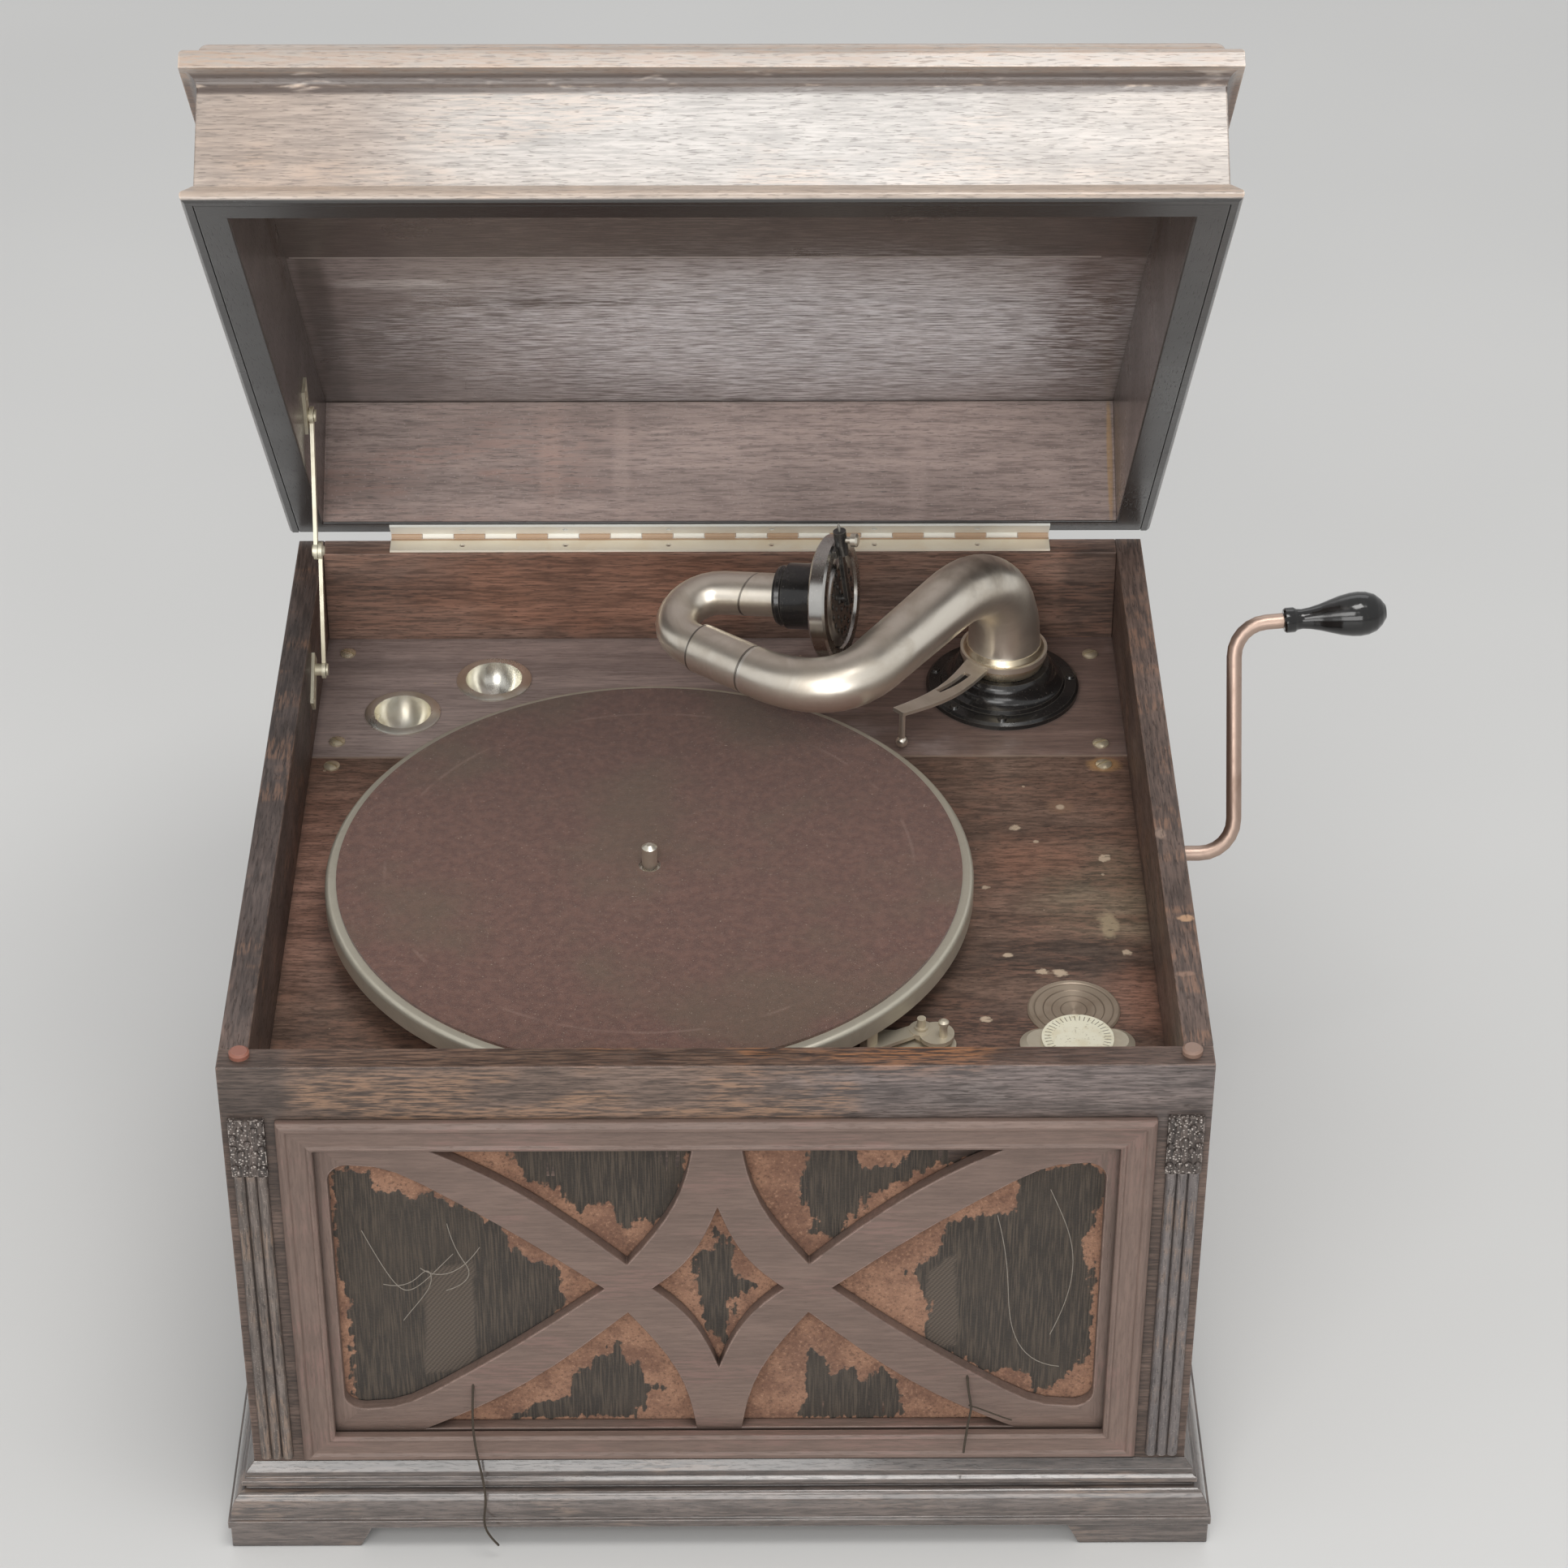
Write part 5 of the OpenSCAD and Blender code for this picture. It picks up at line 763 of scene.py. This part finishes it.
def plated_metals(m):
    """The nickel of the arm, the sound box and the fittings on the deck."""
    m["nickel"] = nickel(
        "nickel_satin", linear(250, 242, 228), linear(192, 176, 154), 0.29, 0.4, scratch=0.15, metal=0.92,
        zones=(
            (spot((143, -62, 345), (30, 34, 34), 0.7, 60, 0.6), linear(112, 100, 88), 0.75),
            (spot((120, -84, 326), (22, 20, 14), 0.7, 60, 0.6), linear(140, 124, 106), 0.5),
            (ring(ARM_JOINT, ARM_JOINT_AXIS, 0.4, 0.6), linear(84, 74, 64), 0.7),
            (ring(ARM_JOINT, ARM_JOINT_AXIS, -1.2, 1.2), linear(255, 250, 240), 0.85),
            (ring(ARM_JOINT, ARM_JOINT_AXIS, 31.6, 0.7, 60), linear(70, 60, 52), 0.75)))
    m["collar"] = nickel(
        "nickel_yellowed", linear(234, 220, 192), linear(172, 148, 118), 0.26, 0.5, 1.0, metal=0.95)
    m["bright"] = nickel(
        "nickel_bright", linear(238, 232, 218), linear(180, 166, 142), 0.22, 0.35, 2.0, metal=0.9)
    m["screw"] = nickel("screw_head", linear(240, 228, 200), linear(160, 136, 104), 0.26, 0.6, 3.0, metal=0.7)
    m["shell"] = nickel("soundbox_plate", linear(206, 204, 200), linear(140, 136, 130), 0.18, 0.4, 14.0)
    m["cover"] = nickel("soundbox_cover", linear(196, 193, 190), linear(104, 98, 93), 0.22, 0.6, 15.0)
    m["rim"] = nickel("nickel_rim", linear(206, 200, 184), linear(178, 170, 152), 0.36, 0.4, 4.0, metal=0.6)
    m["cup"] = nickel(
        "nickel_cup", linear(250, 248, 238), linear(214, 198, 164), 0.26, 0.5, 5.0, metal=0.9,
        turned=(region((-137, None, None), ANY), *NEEDLE_CUPS))
    m["satin"] = nickel(
        "nickel_plate", linear(216, 206, 186), linear(176, 162, 138), 0.38, 0.4, 16.0, metal=0.6)
    circles = tuple((hoop(SPEED_DISH, r, 0.45), linear(96, 82, 68), 0.6) for r in (6, 10, 14, 18))
    m["dish"] = nickel(
        "dish_plate", linear(176, 160, 142), linear(134, 112, 94), 0.42, 0.5, 17.0, metal=0.5, zones=circles,
        turned=(region((137, None, None), ANY), (0, 0), SPEED_DISH))


def other_metals(m):
    """Hinge, stay, crank and the motor's wheels."""
    knuckles = region((None, -2.2, None), ANY, 0.4)
    m["stay"] = nickel("stay_plate", linear(236, 230, 208), linear(196, 180, 144), 0.4, 0.4, 9.0, metal=0.5)
    m["brass"] = nickel("hinge_plate", linear(255, 254, 246), linear(248, 238, 218), 0.4, 0.3, 6.0, metal=0.0)
    m["brass_dark"] = nickel(
        "hinge_plate_dark", linear(255, 247, 228), linear(244, 224, 192), 0.4, 0.4, 7.0, metal=0.0,
        zones=((knuckles, linear(184, 148, 116), 0.85),))
    m["gear"] = nickel("gear_brass", linear(196, 158, 92), linear(120, 90, 48), 0.3, 0.5, 8.0)
    m["steel"] = nickel("machined_steel", linear(168, 166, 160), linear(96, 88, 76), 0.34, 0.5, 10.0)
    m["crank"] = nickel("crank_plate", linear(190, 166, 152), linear(138, 112, 98), 0.40, 0.5, 12.0)


def enamels(m):
    """Black enamel, the crank's handle, dial, buffers and diaphragm."""
    right_half = region((0, None, None), ANY)
    m["black"] = enamel("black_enamel", linear(34, 33, 33), linear(132, 126, 116))
    m["grip"] = enamel("grip_enamel", linear(14, 13, 13), linear(70, 64, 58), 0.14)
    m["cream"] = dial_look()
    m["rubber"] = enamel(
        "buffer_rubber", linear(140, 88, 72), linear(170, 134, 116), 0.6,
        zones=((right_half, linear(138, 112, 98), 1.0),))
    m["mica"] = enamel("diaphragm", linear(206, 178, 130), linear(150, 120, 80), 0.3)


def make_materials():
    """Every look by its key in BOARDS and TURNED."""
    m = {}
    for add in (case_woods, lid_woods, deck_woods, plated_metals, other_metals, enamels):
        add(m)
    m["felt"] = felt("felt")
    return m


SHARP = math.radians(32)
LID_ARRIS = 0.0008
ARRIS = 0.0006


def dress(node, material, arris=None):
    """Gives a solid its material, and for a board also the small rounded arris that a saw-cut solid lacks."""
    obj = nodes[node]
    mesh = obj.data
    mesh.materials.clear()
    mesh.materials.append(material)
    if "custom_normal" in mesh.attributes:
        mesh.attributes.remove(mesh.attributes["custom_normal"])
    mesh.polygons.foreach_set("use_smooth", [True] * len(mesh.polygons))
    weld = obj.modifiers.new("weld", "WELD")
    weld.merge_threshold = 0.00001
    if arris:
        flat = obj.modifiers.new("flat", "DECIMATE")
        flat.decimate_type = "DISSOLVE"
        flat.angle_limit = math.radians(0.5)
        bevel = obj.modifiers.new("arris", "BEVEL")
        bevel.width = arris
        bevel.segments = 2
        bevel.limit_method = "ANGLE"
        bevel.angle_limit = SHARP
        bevel.harden_normals = True
    else:
        split = obj.modifiers.new("edges", "EDGE_SPLIT")
        split.split_angle = SHARP


# Grille cloth

# Outlines in millimetres, x and z on the cloth: where its flock is gone, and where the bare weave shows
WORN = (
    ((-169, 215), (-152, 213), (-149, 202), (-134, 198), (-126, 200), (-108, 189), (-96, 180), (-93, 168),
     (-83, 160), (-71, 153), (-73, 142), (-67, 137), (-72, 130), (-75, 117), (-87, 106), (-107, 96),
     (-111, 91), (-134, 78), (-152, 70), (-165, 73), (-167, 78), (-166, 133), (-170, 153), (-170, 181)),
    ((-90, 232), (-10, 231), (-16, 210), (-19, 187), (-27, 183), (-32, 185), (-42, 180), (-49, 193),
     (-55, 193), (-62, 190), (-71, 202), (-82, 205), (-85, 215), (-91, 220)),
    ((1, 180), (7, 167), (7, 152), (16, 145), (7, 137), (4, 109), (0, 106), (-5, 119), (-10, 142),
     (-11, 162), (-3, 167)),
    ((-46, 113), (-43, 98), (-38, 97), (-33, 85), (-26, 82), (-33, 77), (-38, 64), (-96, 63), (-86, 70),
     (-69, 77), (-67, 88), (-55, 101), (-49, 101)),
    ((42, 225), (61, 227), (64, 215), (82, 217), (86, 228), (120, 228), (117, 223), (99, 215), (86, 209),
     (68, 198), (56, 180), (55, 172), (43, 176), (42, 184), (37, 194), (38, 206)),
    ((132, 209), (164, 217), (174, 205), (168, 189), (164, 168), (169, 144), (168, 111), (166, 95),
     (152, 78), (144, 78), (142, 89), (118, 93), (96, 107), (94, 140), (86, 152), (101, 168), (101, 180),
     (118, 186), (132, 188)),
    ((42, 106), (51, 99), (52, 89), (59, 93), (66, 85), (75, 93), (81, 85), (82, 74), (88, 64), (70, 62),
     (54, 62), (34, 64), (40, 74), (39, 87)),
)
WEAVE = (
    ((-131, 153), (-109, 160), (-111, 93), (-134, 91)),
    ((94, 152), (107, 164), (108, 107), (96, 105)),
)


def depth_inside(outline, x, z):
    """How far (x, z) lies inside the outline, or minus how far outside it."""
    inside = False
    near = 1e9
    for i, (ax, az) in enumerate(outline):
        bx, bz = outline[i - 1]
        if (az > z) != (bz > z) and x < (bx - ax) * (z - az) / (bz - az) + ax:
            inside = not inside
        dx, dz = bx - ax, bz - az
        t = max(0.0, min(1.0, ((x - ax) * dx + (z - az) * dz) / (dx * dx + dz * dz)))
        near = min(near, math.hypot(ax + t * dx - x, az + t * dz - z))
    return near if inside else -near


def smooth(value, low, high):
    """0 below low, 1 above high and a smooth change between them."""
    t = max(0.0, min(1.0, (value - low) / (high - low)))
    return t * t * (3 - 2 * t)


def new_piece(name, points, faces, material, smooth_faces=True):
    """A mesh object of its own in the scene."""
    mesh = bpy.data.meshes.new(name)
    mesh.from_pydata([tuple(p) for p in points], [], faces)
    mesh.update()
    obj = bpy.data.objects.new(name, mesh)
    bpy.context.scene.collection.objects.link(obj)
    mesh.materials.append(material)
    if smooth_faces:
        mesh.polygons.foreach_set("use_smooth", [True] * len(mesh.polygons))
    return obj


def cloth_look():
    """Tan flock over dark threads. The layer named wear says where each shows."""
    look = Look("grille_cloth_worn")
    n = look.nodes.new("ShaderNodeAttribute")
    n.attribute_name = "wear"
    bare, weave = look.parts(n.outputs["Vector"])[:2]
    flock = look.noise(look.where, 700, 3, 0.7)
    cloud = look.noise(look.where, 60, 3, 0.6)
    tan = look.blend(look.step(cloud, 0.35, 0.65), linear(118, 84, 66), linear(150, 112, 89))
    tan = look.blend(look.times(look.step(flock, 0.52, 0.66), 0.7), tan, linear(88, 62, 48))
    tan = look.blend(look.times(look.step(flock, 0.44, 0.30), 0.5), tan, linear(186, 146, 118))
    threads = look.noise(look.stretched(look.where, (1, 1, 0.04)), 1300, 2, 0.6)
    dark = look.blend(look.step(threads, 0.42, 0.66), linear(50, 43, 37), linear(80, 69, 58))
    faded = look.step(look.noise(look.where, 34, 3), 0.45, 0.7)
    dark = look.blend(look.times(faded, 0.4), dark, linear(70, 60, 50))
    x, _, z = look.parts(look.where)[:3]
    rib_pitch, cross_pitch = 0.0021, 0.0016
    rib = look.math("SINE", look.times(look.math("ADD", x, look.times(z, 0.6)), 2 * math.pi / rib_pitch))
    cross = look.math("SINE", look.times(z, 2 * math.pi / cross_pitch))
    check = look.step(look.times(rib, cross), -0.35, 0.35)
    woven = look.blend(check, linear(66, 57, 49), linear(94, 82, 71))
    dark = look.blend(weave, dark, woven)
    tufts = look.noise(look.where, 420, 3, 0.7)
    edge = look.math("ADD", bare, look.times(look.math("SUBTRACT", tufts, 0.5), 1.3), clamp=True)
    tone = look.blend(look.step(edge, 0.36, 0.66), tan, dark)
    height = look.math("ADD", look.times(flock, 0.6), look.times(threads, 0.5))
    normal = look.bump(height, 0.0005, 0.7)
    return look.finish(tone, 0.93, normal, Specular_IOR_Level=0.2, Sheen_Weight=0.25, Sheen_Roughness=0.6)


def make_cloth():
    """The flocked cloth behind the fretwork, worn through to its dark threads, as one relief of quads."""
    low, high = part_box("grille_cloth")
    step = 1.25 * MM
    columns = int((high.x - low.x - 2 * MM) / step)
    rows = int((high.z - low.z - 2 * MM) / step)
    points, wear = [], []
    for r in range(rows + 1):
        for c in range(columns + 1):
            x = low.x + MM + c * step
            z = low.z + MM + r * step
            u, w = (x - ORIGIN.x) / MM, z / MM
            ragged = 3.4 * noise.noise(Vector((u * 0.30, w * 0.05, 1.7)))
            ragged += 2.6 * noise.noise(Vector((u * 0.9, w * 0.2, 5.1)))
            ragged += 2.0 * noise.noise(Vector((u * 0.35, w * 0.35, 9.3)))
            inside = max(depth_inside(outline, u, w) for outline in WORN)
            bare = smooth(inside + ragged, -2.6, 2.6)
            weave = max(smooth(depth_inside(outline, u, w) + 0.4 * ragged, -1.0, 1.0) for outline in WEAVE)
            pile = 0.45 * (1 - bare) * (0.7 + 0.5 * noise.noise(Vector((u * 0.8, w * 0.8, 3.3))))
            thread = 0.22 * bare * (1 - weave) * noise.noise(Vector((u * 1.1, w * 0.05, 7.7)))
            sag = 0.5 * noise.noise(Vector((u * 0.022, w * 0.03, 2.2)))
            points.append((x, low.y + (0.75 - pile - thread + sag) * MM, z))
            wear.append((bare, weave, 0.0, 1.0))
    across = columns + 1
    faces = [(r * across + c, r * across + c + 1, (r + 1) * across + c + 1, (r + 1) * across + c)
             for r in range(rows) for c in range(columns)]
    cloth = new_piece("cloth_sheet", points, faces, cloth_look())
    layer = cloth.data.color_attributes.new("wear", "FLOAT_COLOR", "POINT")
    layer.data.foreach_set("color", [v for colour in wear for v in colour])
    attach(cloth, "case")
    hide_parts("grille_cloth")
    threads = loose_threads()


def thread_look(name, low, high):
    """Matt thread between two tones."""
    look = Look(name)
    return look.finish(look.blend(look.noise(look.where, 900, 2), low, high), 0.9)


def loose_threads():
    """Threads that have come out of the cloth: two long ones over the frame, and hairs in the worn places."""
    dark = thread_look("loose_thread", linear(44, 38, 32), linear(78, 68, 56))
    pale = thread_look("lint_hair", linear(112, 104, 94), linear(160, 152, 142))
    front = ORIGIN.y - CASE_DEPTH
    routes = [
        [(-112, 3, 92), (-112.5, -2, 84), (-112.5, -8.5, 76), (-112, -9.5, 66), (-111, -10, 56),
         (-109, -11.5, 44), (-107.5, -14.5, 34), (-108.5, -17, 26), (-109, -18.5, 20), (-107, -19.2, 14),
         (-102.5, -19.6, 8)],
        [(113, 3, 96), (113.5, -2.2, 90), (114.5, -2.8, 84), (115.5, -3.2, 78), (114, -4.5, 72),
         (112.5, -9.4, 64), (112, -9.8, 57)],
        [(114, -2.8, 80), (120, -2.8, 78), (128, -3.0, 73), (134, -3.2, 71)],
        [(-158, 4, 182), (-146, 3.4, 150), (-139, 3.2, 141), (-128, 3.6, 156), (-118, 3.9, 168)],
        [(-133, 3.4, 160), (-124, 2.8, 152), (-114, 3.0, 158), (-106, 3.8, 172)],
        [(147, 3.6, 205), (153, 3.0, 190), (161, 3.2, 170), (158, 3.4, 140), (150, 3.6, 118)],
        [(124, 3.8, 190), (131, 3.1, 160), (128, 3.0, 130), (139, 3.4, 100), (155, 3.8, 98)],
        [(-150, 3.8, 150), (-138, 3.0, 147), (-130, 3.2, 165), (-126, 3.4, 150), (-136, 3.2, 138),
         (-142, 3.8, 128)],
        [(-120, 3.8, 186), (-117, 3.0, 168), (-108, 3.2, 160), (-113, 3.2, 150), (-122, 3.8, 146)],
    ]
    # Radius in millimetres and look: three threads of the cloth, then pale hairs
    kinds = [(0.55, dark), (0.55, dark), (0.35, dark)]
    kinds += [(0.2, pale)] * (len(routes) - len(kinds))
    made = []
    for i, (route, (radius, material)) in enumerate(zip(routes, kinds)):
        data = bpy.data.curves.new(f"thread_{i + 1}", "CURVE")
        data.dimensions = "3D"
        data.bevel_depth = radius * MM
        data.bevel_resolution = 2
        data.resolution_u = 6
        spline = data.splines.new("NURBS")
        spline.points.add(len(route) - 1)
        for point, (x, y, z) in zip(spline.points, route):
            point.co = (ORIGIN.x + x * MM, front + y * MM, z * MM, 1)
        spline.use_endpoint_u = True
        spline.order_u = 4
        data.materials.append(material)
        obj = bpy.data.objects.new(f"thread_{i + 1}", data)
        bpy.context.scene.collection.objects.link(obj)
        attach(obj, "case")
        made.append(obj)
    return made


make_camera()
make_light()
make_floor()
looks = make_materials()
make_cloth()

# The look of each solid. Boards also get an arris
BOARDS = {
    "front_panel": "front", "left_side": "side", "right_side": "side", "back_panel": "back",
    "plinth": "plinth", "feet": "plinth", "reeded_stiles": "stile", "carved_blocks": "block",
    "grille_frame": "fret", "fretwork": "fret", "front_deck": "deck", "rear_deck": "rear_deck",
    "bottom_board": "bare", "deck_ledges": "bare", "horn": "bare", "lid_walls": "lid_walls",
    "lid_top": "lid", "lid_mouldings": "lid",
}
TURNED = {
    "lid_buffers": "rubber", "deck_screws": "screw", "needle_cups": "cup", "throat_elbow": "steel",
    "crank_bush": "bright", "hinge_case_leaf": "brass_dark", "hinge_lid_leaf": "brass",
    "stay_case_bracket": "stay", "stay_lid_bracket": "stay", "stay_upper_arm": "stay",
    "stay_lower_arm": "stay", "tone_arm_base": "black", "brake_plate": "satin", "brake_lever": "satin",
    "speed_dish": "dish", "speed_knob": "satin", "speed_dial": "cream", "motor_frame": "steel",
    "motor_bolts": "bright", "turntable": "rim", "turntable_felt": "felt", "spindle": "bright",
    "tone_arm_collar": "collar", "tone_arm_tube": "nickel", "arm_lever": "nickel", "gooseneck": "nickel",
    "soundbox_mount": "black", "soundbox_case": "shell", "soundbox_diaphragm": "mica",
    "soundbox_grille": "cover", "needle_bar": "black", "needle": "steel", "needle_screw": "bright",
    "crank_rod": "crank", "crank_grip": "grip", "winding_wheel": "gear", "spring_barrel": "steel",
    "mainspring": "steel", "transfer_wheel": "gear", "governor": "gear", "governor_weights": "steel",
}
for name, key in BOARDS.items():
    dress(name, looks[key], LID_ARRIS if name.startswith("lid") else ARRIS)
for name, key in TURNED.items():
    dress(name, looks[key])
